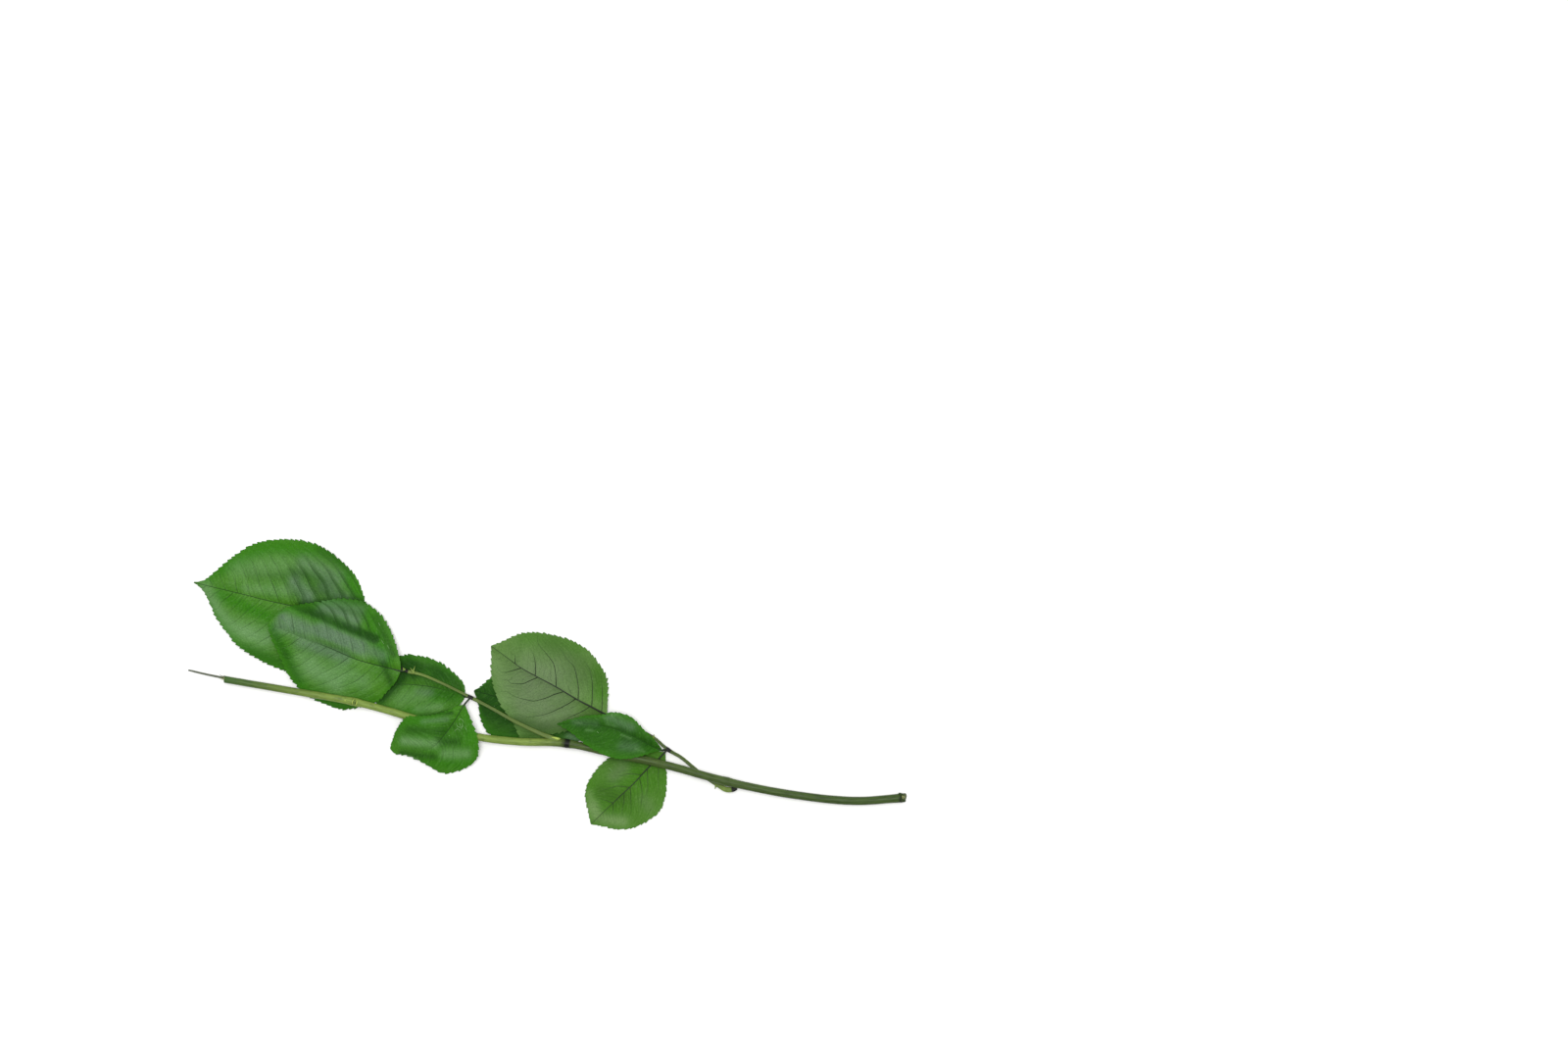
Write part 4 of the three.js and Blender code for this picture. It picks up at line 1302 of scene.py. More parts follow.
def blade_surface(shape, seed):
    middle = smooth_line(shape["midrib"])
    base, tip = shape["midrib"][0], shape["midrib"][-1]
    lines = {side: smooth_line([base, *shape[side], tip]) for side in ("left", "right")}
    margin = (lines["left"].length + lines["right"].length) / 2
    teeth = round(margin / TOOTH_PITCH)
    rows = np.linspace(0, 1, teeth * ROWS_PER_TOOTH + 1)
    share = rows[:, None]
    centre = middle(rows)
    forward = heading(middle, rows)
    normal = np.stack([-forward[:, 1], forward[:, 0], 0 * rows], axis=1)
    normal = normal / np.linalg.norm(normal, axis=1, keepdims=True)
    widest = {
        side: np.abs(np.einsum("ij,ij->i", line(rows) - centre, normal)).max()
        for side, line in lines.items()
    }
    right = -blade_columns(widest["right"])[::-1]
    left = blade_columns(widest["left"])
    across = np.concatenate([right[:-1], left])[None, :]
    reach = np.abs(across)
    is_left = (across > 0)[..., None]

    edge = by_side(is_left, lines, lambda line: line(rows))
    end = np.where(share < 0.5, NECK_HALF_WIDTH, TIP_HALF_WIDTH)
    least = end * np.abs(2 * share - 1) ** 8
    place = centre[:, None] * (1 - reach[..., None]) + edge * reach[..., None]
    place = place + normal[:, None] * (across * least)[..., None]
    place[..., 2] += 4 * shape["arch"] * reach * (1 - reach) * np.sin(np.pi * share)

    spoke = place - centre[:, None]
    along = share * middle.length + np.einsum("ijk,ik->ij", spoke, forward)
    out = np.einsum("ijk,ik->ij", spoke, normal)
    half_width = np.where(across > 0, widest["left"], widest["right"])
    phase, gap = vein_phase(along, out, reach, half_width, shape["vein_gap"])
    phase = phase + VEIN_WANDER * ripples(along, out, seed, WANDER_LENGTH)
    edge_way = by_side(is_left, lines, lambda line: heading(line, rows))
    outward = np.stack([-edge_way[..., 1], edge_way[..., 0], 0 * edge_way[..., 0]], axis=-1)
    outward = np.where(is_left, outward, -outward)
    whole = np.zeros(place.shape[:2])
    return {
        "teeth": teeth, "length": middle.length, "place": place, "outward": outward,
        "forward": edge_way, "share": share + whole, "reach": reach + whole,
        "across": across + whole, "along": along, "out": out, "phase": phase, "gap": gap,
    }


print("a tooth every", TOOTH_PITCH, "mm")

# %% [markdown]
# ## Relief on a blade
# A real blade is quilted: it bulges between its veins and sinks along its midrib. Drawing
# each bulge would take long, so the vein phase gives them, deeper where `pucker` says so.
# The creases and a faint ripple are added. A blade lies on the table and can't sink into
# it, so the height has a floor.

# %% Relief
QUILT_HEIGHT = 0.05
QUILT_GAP_POWER = 0.8
VALLEY_DEPTH = 0.45
VALLEY_HALF_WIDTH = 1.3
FLAT_BESIDE_MIDRIB = 2.5
RIPPLE_HEIGHT = 0.22
RIPPLE_LENGTH = 16
LOWEST = 0.2


def add_relief(surface, shape, seed):
    """Quilting between the veins, a valley at the midrib, creases and faint ripples."""
    up = 1 if shape["side"] == "upper" else -1
    x, y = surface["place"][..., 0], surface["place"][..., 1]
    out = np.abs(surface["out"])
    shifted = surface["phase"] + np.where(surface["across"] < 0, RIGHT_SIDE_SHIFT, 0)
    between = 0.5 - 0.5 * np.cos(2 * np.pi * shifted)
    window = (1 - surface["reach"] ** 5) * (1 - np.exp(-((out / FLAT_BESIDE_MIDRIB) ** 2)))
    pucker = 1 + sum(stroke(x, y, line) for line in shape.get("pucker", []))
    quilt = QUILT_HEIGHT * shape["vein_gap"] ** QUILT_GAP_POWER * between * window * pucker
    valley = -VALLEY_DEPTH * np.exp(-((out / VALLEY_HALF_WIDTH) ** 2)) * (1 - surface["share"] ** 3)
    ripple = RIPPLE_HEIGHT * ripples(x, y, seed + 1, RIPPLE_LENGTH)
    surface["place"][..., 2] += up * (quilt + valley) + ripple
    for crease in shape.get("creases", []):
        surface["place"][..., 2] += crease_rise(x, y, crease)
    surface["place"][..., 2] = np.maximum(surface["place"][..., 2], LOWEST)


print("no blade lies lower than", LOWEST, "mm")

# %% [markdown]
# ## Ribs and scuffs
# Underneath, the veins stand proud as thin round ribs. The midrib starts as the leaflet's
# own short black stalk, at its foot on the leaf stalk. The side veins of the two leaflets
# that lie face down are seen well, so their tables give them point by point. Elsewhere each
# side vein is the line where the vein phase is a whole number, found column by column. They
# are swept later by the leaflet tree, so here they are only lines with a thickness. A few
# scuffs on the upper face, pale and much thinner, are made in the same way.

# %% Rib lines
BLADE_THICKNESS = 0.34
MIDRIB_THICK = [(0, 0.52), (0.06, 0.44), (0.3, 0.3), (0.7, 0.17), (1, 0.07)]
MIDRIB_POINTS = 70
MIDRIB_FROM = 0.004
MIDRIB_TO = 0.985
SIDE_VEIN_THICK = [(0, 0.2), (0.5, 0.14), (1, 0.03)]
SIDE_VEIN_POINTS = 36
SIDE_VEIN_END = 0.95
FEWEST_VEIN_POINTS = 6
SCUFF_THICK = 0.1
SCUFF_LIFT = 0.02
SCUFF_POINTS = 14


def on_surface(surface, plan):
    """Heights of the blade at some places, from the nearest grid points."""
    grid = surface["place"].reshape(-1, 3)
    heights = []
    for x, y in plan:
        near = np.hypot(grid[:, 0] - x, grid[:, 1] - y)
        nearest = np.argpartition(near, 6)[:6]
        weight = 1 / (near[nearest] + 0.05)
        heights.append((grid[nearest, 2] * weight).sum() / weight.sum())
    return np.array(heights)


def midrib_line(surface, shape, under, middle_column):
    """The midrib, from its foot on the leaf stalk to just short of the tip."""
    spine = surface["place"][:, middle_column]
    rows = surface["share"][:, 0]
    share = np.linspace(MIDRIB_FROM, MIDRIB_TO, MIDRIB_POINTS)
    spine = np.stack([np.interp(share, rows, spine[:, k]) for k in range(3)], axis=1)
    thick = pairs_at(MIDRIB_THICK, share) * (surface["length"] / 60) ** 0.5
    spine[:, 2] += under * (0.5 * BLADE_THICKNESS + 0.2 * thick) * np.clip(share / 0.06, 0, 1)
    foot = np.array(shape["foot"])
    points = np.vstack([foot, (foot + spine[0]) / 2, spine])
    return {"points": points, "thick": np.concatenate([[thick[0]] * 2, thick])}


def scuff_line(surface, scuff):
    """A pale scratch that lies on the blade."""
    share = np.linspace(0, 1, SCUFF_POINTS)
    points = smooth_line([(x, y, 0) for x, y in scuff])(share)
    points[:, 2] = on_surface(surface, points[:, :2]) + 0.5 * BLADE_THICKNESS + SCUFF_LIFT
    thick = SCUFF_THICK * np.sin(np.pi * (0.1 + 0.8 * share))
    return {"points": points, "thick": thick, "scuffed": 1}


def drawn_vein(surface, vein, under, size):
    """A side vein that the table gives point by point."""
    share = np.linspace(0, 1, SIDE_VEIN_POINTS)
    points = smooth_line([(x, y, 0) for x, y in vein])(share)
    thick = pairs_at(SIDE_VEIN_THICK, share) * size
    points[:, 2] = on_surface(surface, points[:, :2]) + under * (0.5 * BLADE_THICKNESS + 0.1 * thick)
    return {"points": points, "thick": thick}


def ruled_vein(surface, phase, level, columns, gap, under):
    """A side vein by the rule: where the vein phase is `level` in each of the columns."""
    points = []
    sizes = []
    for j in columns:
        reach = surface["reach"][0, j]
        if reach > SIDE_VEIN_END or not phase[0, j] < level < phase[-1, j]:
            continue
        point = [np.interp(level, phase[:, j], surface["place"][:, j, k]) for k in range(3)]
        size = pairs_at(SIDE_VEIN_THICK, reach) * (gap / 6) ** 0.3
        point[2] += under * (0.5 * BLADE_THICKNESS + 0.1 * size)
        points.append(point)
        sizes.append(size)
    return {"points": np.array(points), "thick": np.array(sizes)}


def rib_lines(surface, shape):
    under = -1 if shape["side"] == "upper" else 1
    middle_column = int(np.argmin(surface["reach"][0]))
    lines = [midrib_line(surface, shape, under, middle_column)]
    lines += [scuff_line(surface, scuff) for scuff in shape.get("scuffs", [])]
    if "veins" in shape:
        size = shape.get("rib", 1.0)
        return lines + [drawn_vein(surface, vein, under, size) for vein in shape["veins"]]

    left = range(middle_column, surface["reach"].shape[1])
    right = range(middle_column, -1, -1)
    for columns, shift in ((left, 0), (right, RIGHT_SIDE_SHIFT)):
        phase = surface["phase"] + shift
        for level in range(1, int(phase.max()) + 1):
            vein = ruled_vein(surface, phase, level, columns, shape["vein_gap"], under)
            if len(vein["points"]) >= FEWEST_VEIN_POINTS:
                lines.append(vein)
    return lines


print("the midrib is", 2 * MIDRIB_THICK[0][1], "mm thick at its foot")

# %% [markdown]
# ## The leaflet tree
# The margin's teeth repeat along the edge, so Geometry Nodes cut them. The tree reads each
# vertex's share of the way along the edge, turns it into a saw wave with the given number
# of teeth, and pushes the outermost vertices out and forward. A white noise picks a height
# for each tooth, so no two are the same. The tree also sweeps the rib lines, joins them to
# the blade and gives each face its finish.

# %% The leaflet tree
def tooth_offset(tree, given):
    """How far each vertex of the margin moves, out and forward, for its tooth."""
    share = named(tree, "share")
    side = named(tree, "side")
    wobble_place = vector(tree, times(tree, share, 16.0), side, given["Seed"])
    wobble = calc(tree, "SUBTRACT", noise(tree, wobble_place, 1.0, 2.0), 0.5)
    count = times(tree, share, given["Teeth"])
    count = calc(tree, "ADD", count, times(tree, wobble, 2.0))
    saw = calc(tree, "POWER", calc(tree, "FRACT", count), 1.1)
    tooth = vector(tree, calc(tree, "FLOOR", count), side, given["Seed"])
    chance = add(tree, "ShaderNodeTexWhiteNoise", {"Vector": tooth}, noise_dimensions="3D")
    size = ramp(tree, chance.outputs["Value"], 0.0, 1.0, 0.6, 1.2)
    height = times(tree, given["Tooth Height"], size)
    height = times(tree, height, ramp(tree, share, 0.02, 0.16))
    height = times(tree, height, ramp(tree, share, 0.93, 1.0, 1.0, 0.3))
    height = times(tree, height, named(tree, "edge"))
    push = times(tree, calc(tree, "SUBTRACT", saw, 0.42), height)
    lean = times(tree, push, given["Forward Lean"])
    out = scaled(tree, named(tree, "outward", "FLOAT_VECTOR"), push)
    return vector_calc(tree, "ADD", out, scaled(tree, named(tree, "forward", "FLOAT_VECTOR"), lean))


def make_leaflet_tree():
    tree, given = new_geometry_tree("leaflet", {
        "Teeth": ("Float", 40.0),
        "Tooth Height": ("Float", 1.0 * MM),
        "Forward Lean": ("Float", 0.35),
        "Rib Sides": ("Int", 8),
        "Seed": ("Float", 0.0),
        "Upper Finish": ("Material", None),
        "Under Finish": ("Material", None),
        "Rib Finish": ("Material", None),
    })
    is_rib = named(tree, "is_rib", "BOOLEAN")
    split = {"Geometry": given["Geometry"], "Selection": is_rib}
    parts = add(tree, "GeometryNodeSeparateGeometry", split).outputs
    moved = {"Geometry": parts["Inverted"], "Offset": tooth_offset(tree, given)}
    blade = add(tree, "GeometryNodeSetPosition", moved).outputs[0]

    line = add(tree, "GeometryNodeMeshToCurve", {"Mesh": parts["Selection"]}).outputs[0]
    size = {"Resolution": given["Rib Sides"], "Radius": 1.0}
    circle = add(tree, "GeometryNodeCurvePrimitiveCircle", size).outputs["Curve"]
    sweep = {"Curve": line, "Profile Curve": circle, "Scale": named(tree, "thick"), "Fill Caps": True}
    ribs = add(tree, "GeometryNodeCurveToMesh", sweep).outputs[0]

    join = add(tree, "GeometryNodeJoinGeometry")
    tree.links.new(blade, join.inputs[0])
    tree.links.new(ribs, join.inputs[0])
    smooth = {0: join.outputs[0], "Shade Smooth": True}
    whole = add(tree, "GeometryNodeSetShadeSmooth", smooth).outputs[0]
    whole = add(tree, "GeometryNodeRealizeInstances", {"Geometry": whole}).outputs[0]
    chosen = {"Upper": True, "Under": named(tree, "is_under", "BOOLEAN"), "Rib": is_rib}
    for label, selection in chosen.items():
        material = given[label + " Finish"]
        finish = {"Geometry": whole, "Selection": selection, "Material": material}
        whole = add(tree, "GeometryNodeSetMaterial", finish).outputs[0]
    add(tree, "NodeGroupOutput", {0: whole})
    return tree


leaflet_tree = make_leaflet_tree()
print("the leaflet tree has", len(leaflet_tree.nodes), "nodes")

# %% [markdown]
# ## What the leaf finishes read
# The upper side is a glossy, saturated green with dark veins, and the underside a matte
# grey-green with finer ones. An image could be painted for each leaflet, but the same drawing
# in other tones serves them all, because the blades carry what differs. One helper gathers
# it: two UV maps, one in millimetres along and out from the midrib and one with the vein
# phase, the values from 0 to 1, and three noises that both sides share.

# %% Leaf values
# The deep tone is also painted shade, and the pale and bloom tones are also painted sheen.
LEAF_SIDES = {
    "upper": {
        "ground": colour(58, 112, 18), "drift": colour(68, 121, 25), "fresh": colour(46, 110, 3),
        "deep_and_shade": colour(22, 66, 3), "pale_and_sheen": colour(96, 138, 80), "bloom_and_sheen": colour(86, 115, 84),
        "vein": colour(16, 45, 10), "rough": 0.42, "mirror": 0.14, "fresh_margin": 0.5,
        "side_veins": 0.8, "net": 0.34, "bulge": 1.0,
    },
    "under": {
        "ground": colour(76, 113, 46), "drift": colour(86, 122, 56), "fresh": colour(58, 110, 16),
        "deep_and_shade": colour(46, 78, 22), "pale_and_sheen": colour(102, 134, 76), "bloom_and_sheen": colour(96, 116, 80),
        "vein": colour(36, 60, 28), "rough": 0.56, "mirror": 0.12, "fresh_margin": 0.12,
        "side_veins": 0.25, "net": 0.3, "bulge": -1.0,
    },
}
# Tones painted from strokes; three of them also paint shade or sheen.
TONES = ("fresh", "deep_and_shade", "pale_and_sheen", "bloom_and_sheen")
BLADE_VALUES = ("share", "reach", "midrib_tone", "vein_tone", "pucker", *TONES)


def uv_place(tree, name):
    return add(tree, "ShaderNodeUVMap", uv_map=name).outputs[0]


def read_blade(tree):
    place = uv_place(tree, "blade")
    out = calc(tree, "ABSOLUTE", add(tree, "ShaderNodeSeparateXYZ", {0: place}).outputs[1])
    phase, gap, _ = add(tree, "ShaderNodeSeparateXYZ", {0: uv_place(tree, "veins")}).outputs
    streak_place = vector(tree, times(tree, times(tree, phase, gap), 1.3), times(tree, out, 0.22))
    blade = {name: attribute_value(tree, name) for name in BLADE_VALUES}
    blade.update(place=place, out=out, phase=phase, gap=gap)
    blade["wide"] = noise(tree, place, 0.09, 3.0)
    blade["small"] = noise(tree, place, 0.9, 5.0, 0.65)
    blade["streaks"] = noise(tree, streak_place, 1.0, 4.0, 0.7)
    return blade


print("a blade carries these values:", list(BLADE_VALUES))

# %% [markdown]
# ## The green of a leaf
# No part of a preserved leaf is one flat green. The ground colour drifts over the blade.
# The four tones are painted over it from the leaflet's own strokes, broken up by streaks
# that run along the side veins, so their edges look grown and not sprayed. Besides green,
# they carry painted light: the deep tone paints shade, and the pale and bloom tones paint
# sheen. A mottle darkens some spots and lightens others with the pale tone, which paints
# specks of sheen, and the margin is fresher. Where the blade is puckered, each bulge gets
# a painted shade on one flank.

# %% Leaf green
def leaf_green(tree, blade, side):
    wide, streaks = blade["wide"], blade["streaks"]
    green = tint(tree, ramp(tree, wide, 0.35, 0.65), side["ground"], side["drift"])
    broken = ramp(tree, calc(tree, "ADD", wide, streaks), 0.7, 1.25, 0.75, 1.15)
    # The deep tone paints shade here, and the pale and bloom tones paint sheen.
    for tone in TONES:
        amount = times(tree, blade[tone], broken, clamp=True)
        green = tint(tree, amount, green, side[tone])
    mottle = times(tree, calc(tree, "ADD", streaks, blade["small"]), 0.5)
    green = tint(tree, ramp(tree, mottle, 0.5, 0.68, 0.0, 0.5), green, side["deep_and_shade"])
    # Painted sheen: pale specks where the mottle is low, fewer where the deep tone lies.
    not_deep = ramp(tree, blade["deep_and_shade"], 0.0, 1.0, 1.0, 0.25)
    pale_sheen_specks = times(tree, ramp(tree, mottle, 0.36, 0.5, 0.3, 0.0), not_deep)
    green = tint(tree, pale_sheen_specks, green, side["pale_and_sheen"])
    margin = ramp(tree, blade["reach"], 0.7, 1.0, 0.0, side["fresh_margin"])
    green = tint(tree, margin, green, side["fresh"])
    # Painted shade on one flank of each puckered bulge.
    painted_flank_shade = ramp(tree, calc(tree, "FRACT", blade["phase"]), 0.55, 0.95)
    painted_flank_shade = times(tree, times(tree, painted_flank_shade, blade["pucker"]), 0.6)
    return tint(tree, painted_flank_shade, green, side["deep_and_shade"])


print("a leaf's green mixes", 2 + len(TONES), "tones")

# %% [markdown]
# ## The veins in the finish
# The midrib is where the distance out is small, a side vein where the vein phase is whole,
# and a finer vein where three times the phase is. The smallest veins are a net, and a
# Voronoi texture's cell borders look just like it once its place is bent by a noise. Each
# kind fades in its own way, so that the drawing is never even. `strong_veins` draws the
# midrib and the side veins, and `weak_veins` all that is finer.

# %% Vein drawing
NET_CELL = 1.1
FINE_NET_CELL = 0.4
FINER_VEIN_WIDTH = 0.13


def line_mask(tree, phase, gap, lines, width):
    """`lines` lines for each vein gap, `width` millimetres to each side."""
    shifted = calc(tree, "FRACT", calc(tree, "ADD", times(tree, phase, float(lines)), 0.5))
    distance = calc(tree, "ABSOLUTE", calc(tree, "SUBTRACT", shifted, 0.5))
    distance = times(tree, distance, calc(tree, "DIVIDE", gap, float(lines)))
    return within(tree, distance, width)


def bent_place(tree, place):
    bend = add(tree, "ShaderNodeTexNoise", {"Vector": place, "Scale": 0.6}).outputs["Color"]
    return vector_calc(tree, "ADD", place, scaled(tree, bend, 0.9))


def net_border(tree, place, cell):
    """The distance to the nearest border in a net of cells."""
    inputs = {"Vector": place, "Scale": 1 / cell, "Randomness": 0.9}
    return add(tree, "ShaderNodeTexVoronoi", inputs, feature="DISTANCE_TO_EDGE").outputs["Distance"]


def strong_veins(tree, blade, side):
    reach = blade["reach"]
    midrib = within(tree, blade["out"], ramp(tree, blade["share"], 0.0, 1.0, 0.34, 0.18))
    midrib = times(tree, midrib, blade["midrib_tone"])
    width = ramp(tree, reach, 0.1, 0.95, 0.23, 0.13)
    veins = line_mask(tree, blade["phase"], blade["gap"], 1, width)
    veins = times(tree, veins, ramp(tree, reach, 0.6, 1.0, 1.0, 0.2))
    veins = times(tree, veins, ramp(tree, blade["wide"], 0.3, 0.6, 1.0, 0.5))
    veins = times(tree, veins, blade["vein_tone"])
    return calc(tree, "MAXIMUM", midrib, times(tree, veins, side["side_veins"]))


def weak_veins(tree, blade, side, net):
    wander = times(tree, noise(tree, blade["place"], 0.22, 3.0), 0.5)
    phase = calc(tree, "ADD", blade["phase"], wander)
    finer = line_mask(tree, phase, blade["gap"], 3, FINER_VEIN_WIDTH)
    finer = times(tree, finer, ramp(tree, blade["reach"], 0.3, 0.95, 0.75, 0.15))
    finer = times(tree, finer, ramp(tree, blade["wide"], 0.4, 0.6, 0.5, 1.0))
    mesh = times(tree, ramp(tree, net, 0.0, 0.14, 1.0, 0.0), side["net"])
    return times(tree, calc(tree, "MAXIMUM", finer, mesh), 0.7)


print("the net's cells are about", NET_CELL, "and", FINE_NET_CELL, "mm wide")

# %% [markdown]
# ## The leaf finishes
# Now the green and the veins meet. The gloss follows the tones too: a leaf is duller where
# it is deep or fresh, and shines more where the pale or bloom tone paints a sheen, so the
# painted sheen also gets a real one. The net makes a fine bump with a noise in it, so the
# sheen breaks up as on leather, and the strong veins sink into it. On the underside the
# bump is turned over, because what sinks into the upper side stands proud below.

# %% Leaf finishes
LEAF_RELIEF = 0.06 * MM


def leaf_roughness(tree, blade, rough):
    value = ramp(tree, blade["small"], 0.3, 0.7, rough - 0.05, rough + 0.12)
    dull = calc(tree, "MAXIMUM", blade["fresh"], blade["deep_and_shade"])
    value = calc(tree, "ADD", value, times(tree, dull, 0.3))
    lit = calc(tree, "MAXIMUM", blade["bloom_and_sheen"], blade["pale_and_sheen"])
    return calc(tree, "SUBTRACT", value, times(tree, lit, 0.1))


def make_leaf_finish(name, side):
    material, tree, shader = new_finish(name, side["rough"], side["mirror"])
    blade = read_blade(tree)
    bent = bent_place(tree, blade["place"])
    net = net_border(tree, bent, NET_CELL)
    fine_net = net_border(tree, bent, FINE_NET_CELL)
    strong = strong_veins(tree, blade, side)
    veins = calc(tree, "MAXIMUM", strong, weak_veins(tree, blade, side, net))
    green = tint(tree, times(tree, veins, 0.85), leaf_green(tree, blade, side), side["vein"])
    tree.links.new(green, shader.inputs["Base Color"])
    tree.links.new(leaf_roughness(tree, blade, side["rough"]), shader.inputs["Roughness"])

    fine_cells = times(tree, ramp(tree, fine_net, 0.0, 0.3), 0.5)
    cells = calc(tree, "ADD", ramp(tree, net, 0.0, 0.35), fine_cells)
    cells = calc(tree, "ADD", cells, times(tree, blade["small"], 2.0))
    height = calc(tree, "SUBTRACT", cells, times(tree, strong, 1.2))
    height = times(tree, height, side["bulge"])
    relief = {"Height": height, "Strength": 0.8, "Distance": LEAF_RELIEF}
    tree.links.new(add(tree, "ShaderNodeBump", relief).outputs[0], shader.inputs["Normal"])
    return material


leaf_finishes = {name: make_leaf_finish(name + "_face", side) for name, side in LEAF_SIDES.items()}
print("leaf finishes:", [material.name for material in leaf_finishes.values()])

# %% [markdown]
# ## The rib finish
# The ribs and the leaflets' short stalks are nearly black where they are thick and green
# where they run out. The same finish paints the scuffs, which carry a mark of their own.

# %% Rib finish
RIB_RELIEF = 0.08 * MM


def make_rib_finish():
    material, tree, shader = new_finish("rib_face", 0.5, 0.3)
    tone = noise(tree, add(tree, "ShaderNodeTexCoord").outputs["Object"], 260.0, 3.0)
    rib = tint(tree, ramp(tree, tone, 0.35, 0.65), colour(20, 32, 16), colour(34, 52, 26))
    thick = ramp(tree, attribute_value(tree, "thick"), 0.04 * MM, 0.2 * MM)
    rib = tint(tree, thick, colour(52, 82, 34), rib)
    rib = tint(tree, attribute_value(tree, "scuffed"), rib, colour(112, 150, 94))
    tree.links.new(rib, shader.inputs["Base Color"])
    relief = {"Height": tone, "Strength": 0.4, "Distance": RIB_RELIEF}
    tree.links.new(add(tree, "ShaderNodeBump", relief).outputs[0], shader.inputs["Normal"])
    return material


rib_finish = make_rib_finish()
print("rib finish:", rib_finish.name)

# %% [markdown]
# ## The carrier mesh of a leaflet
# Two copies of the grid, a third of a millimetre apart, are the two faces of the blade, and
# a rim closes them all round. A Solidify modifier would do that too, but here every vertex
# must keep its place in the grid. The rib lines join the mesh as loose edges.

# %% Carrier mesh
MARGIN_THIN = 0.5


def quads(first, second, third, fourth):
    return np.stack([first, second, third, fourth], axis=-1).reshape(-1, 4)


def blade_faces(rows, columns):
    """Corner numbers of the top, the bottom and the four rims, all facing out."""
    top = np.arange(rows * columns).reshape(rows, columns)
    low = top + rows * columns
    sheet = quads(top[:-1, :-1], top[1:, :-1], top[1:, 1:], top[:-1, 1:])
    back = quads(low[:-1, 1:], low[1:, 1:], low[1:, :-1], low[:-1, :-1])
    left = quads(top[:-1, -1], top[1:, -1], low[1:, -1], low[:-1, -1])
    right = quads(top[1:, 0], top[:-1, 0], low[:-1, 0], low[1:, 0])
    base = quads(top[0, :-1], top[0, 1:], low[0, 1:], low[0, :-1])
    tip = quads(top[-1, 1:], top[-1, :-1], low[-1, :-1], low[-1, 1:])
    return sheet, back, np.vstack([left, right, base, tip])


def blade_mesh(surface, lines, faces):
    thickness = BLADE_THICKNESS * (1 - MARGIN_THIN * surface["reach"] ** 6)
    lift = np.stack([0 * thickness, 0 * thickness, thickness / 2], axis=-1)
    top = (surface["place"] + lift).reshape(-1, 3)
    low = (surface["place"] - lift).reshape(-1, 3)
    points = np.vstack([top, low, *[line["points"] for line in lines]])
    mesh = bpy.data.meshes.new("blade")
    edges = line_edges(lines, len(top) + len(low))
    mesh.from_pydata((points * MM).tolist(), edges, faces.tolist())
    return mesh


print("a blade is", BLADE_THICKNESS, "mm thick")

# %% [markdown]
# ## Values on the carrier
# The tree and the finishes read everything from the mesh, so each value is stored as a
# named attribute or as a UV map. Both faces of the blade get the same values, which are
# zero on the rib lines, and only the rib lines have a thickness. A tone's strokes are laid
# over each other like glazes: what one leaves uncovered, the next can cover.

# %% Carrier values
EDGE_BAND = 2.2


def on_both_faces(values, line_points):
    """Grid values for the top face and again for the back, and zeros for the rib lines."""
    flat = values.reshape(-1, *values.shape[2:])
    return np.concatenate([flat, flat, np.zeros((line_points, *values.shape[2:]))])


def painted(x, y, strokes):
    """How strongly some strokes together cover each point."""
    left_bare = [1 - np.clip(stroke(x, y, line), 0, 1) for line in strokes]
    return 1 - np.prod(left_bare, axis=0) if strokes else 0 * x


def store_blade_values(mesh, surface, shape, line_points):
    x, y = surface["place"][..., 0], surface["place"][..., 1]
    from_edge = (1 - surface["reach"]) * np.abs(surface["out"]).max()
    midrib_tone = shape.get("midrib_tone", [(0, 1), (1, 1)])
    values = {
        "share": surface["share"],
        "reach": surface["reach"],
        "side": np.sign(surface["across"]),
        "edge": np.exp(-((from_edge / EDGE_BAND * 2) ** 2)),
        "vein_tone": np.full(x.shape, shape.get("vein_tone", 1.0)),
        "midrib_tone": pairs_at(midrib_tone, surface["share"]),
    }
    for tone in (*TONES, "pucker"):
        values[tone] = painted(x, y, shape.get(tone, []))
    for name, grid in values.items():
        set_attribute(mesh, name, on_both_faces(grid, line_points))
    for name in ("outward", "forward"):
        set_attribute(mesh, name, on_both_faces(surface[name], line_points), "FLOAT_VECTOR")


def store_line_values(mesh, lines, blade_points):
    bare = np.zeros(blade_points)
    thick = np.concatenate([bare, *[line["thick"] for line in lines]])
    scuffed = [np.full(len(line["thick"]), line.get("scuffed", 0)) for line in lines]
    set_attribute(mesh, "thick", thick * MM)
    set_attribute(mesh, "is_rib", np.arange(len(thick)) >= blade_points, "BOOLEAN")
    set_attribute(mesh, "scuffed", np.concatenate([bare, *scuffed]))


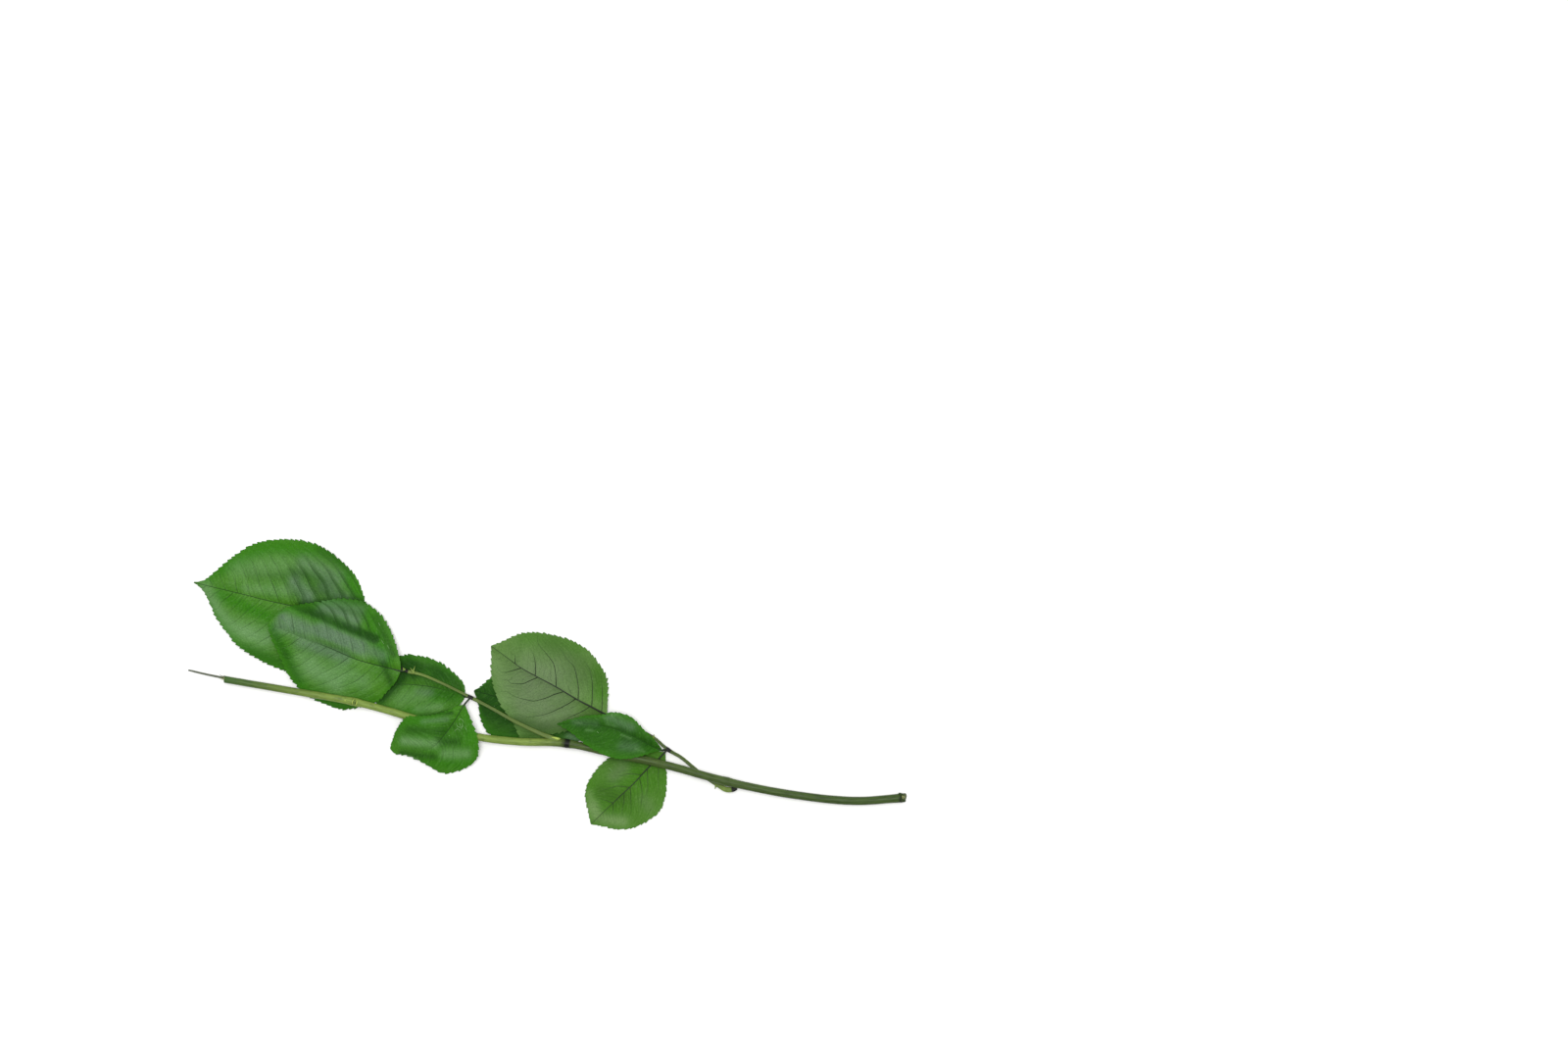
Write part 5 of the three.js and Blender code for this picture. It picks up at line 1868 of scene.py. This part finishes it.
def store_blade_maps(mesh, surface, faces):
    """One UV map in millimetres along and out, and one with the vein phase and gap."""
    columns = surface["across"].shape[1]
    across = surface["across"][0][faces % columns]
    shift = np.repeat(np.where(across.mean(axis=1) < 0, RIGHT_SIDE_SHIFT, 0), 4)
    corners = faces.reshape(-1)
    along, out, phase, gap = (
        on_both_faces(surface[name], 0)[corners] for name in ("along", "out", "phase", "gap")
    )
    for name, values in (("blade", (along, out)), ("veins", (phase + shift, gap))):
        layer = mesh.uv_layers.new(name=name)
        layer.data.foreach_set("uv", np.stack(values, axis=1).ravel())


print("the teeth bend a band of about", EDGE_BAND, "mm")

# %% [markdown]
# ## Building the leaflets
# Now each table row becomes a leaflet. The face that looks up is the upper side or the
# underside, as the table says. The carrier mesh gets its values, and then the leaflet tree
# cuts the teeth and sweeps the ribs.

# %% Build the leaflets
TOOTH_HEIGHT = 0.9


def blade_carrier(shape, seed):
    surface = blade_surface(shape, seed)
    add_relief(surface, shape, seed)
    lines = rib_lines(surface, shape)
    sheet, back, rim = blade_faces(*surface["share"].shape)
    faces = np.vstack([sheet, back, rim])
    mesh = blade_mesh(surface, lines, faces)
    blade_points = 2 * surface["share"].size
    store_blade_values(mesh, surface, shape, len(mesh.vertices) - blade_points)
    store_line_values(mesh, lines, blade_points)
    is_back = np.concatenate([np.zeros(len(sheet)), np.ones(len(back) + len(rim))])
    is_under = is_back if shape["side"] == "upper" else 1 - is_back
    set_attribute(mesh, "is_under", is_under, "BOOLEAN", "FACE")
    store_blade_maps(mesh, surface, faces)
    return mesh, surface["teeth"]


for seed, (name, shape) in enumerate(LEAFLETS.items()):
    mesh, teeth = blade_carrier(shape, seed * 10)
    leaflet = run_tree(
        name + "_blade", mesh, leaflet_tree, Teeth=float(teeth), Seed=float(seed),
        Tooth_Height=TOOTH_HEIGHT * shape.get("tooth", 1.0) * MM, Rib_Finish=rib_finish,
        Upper_Finish=leaf_finishes["upper"], Under_Finish=leaf_finishes["under"],
    )
    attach(leaflet, BODY)
    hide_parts(name)
    print(name, "has", teeth, "teeth a side and", len(leaflet.data.polygons), "faces")
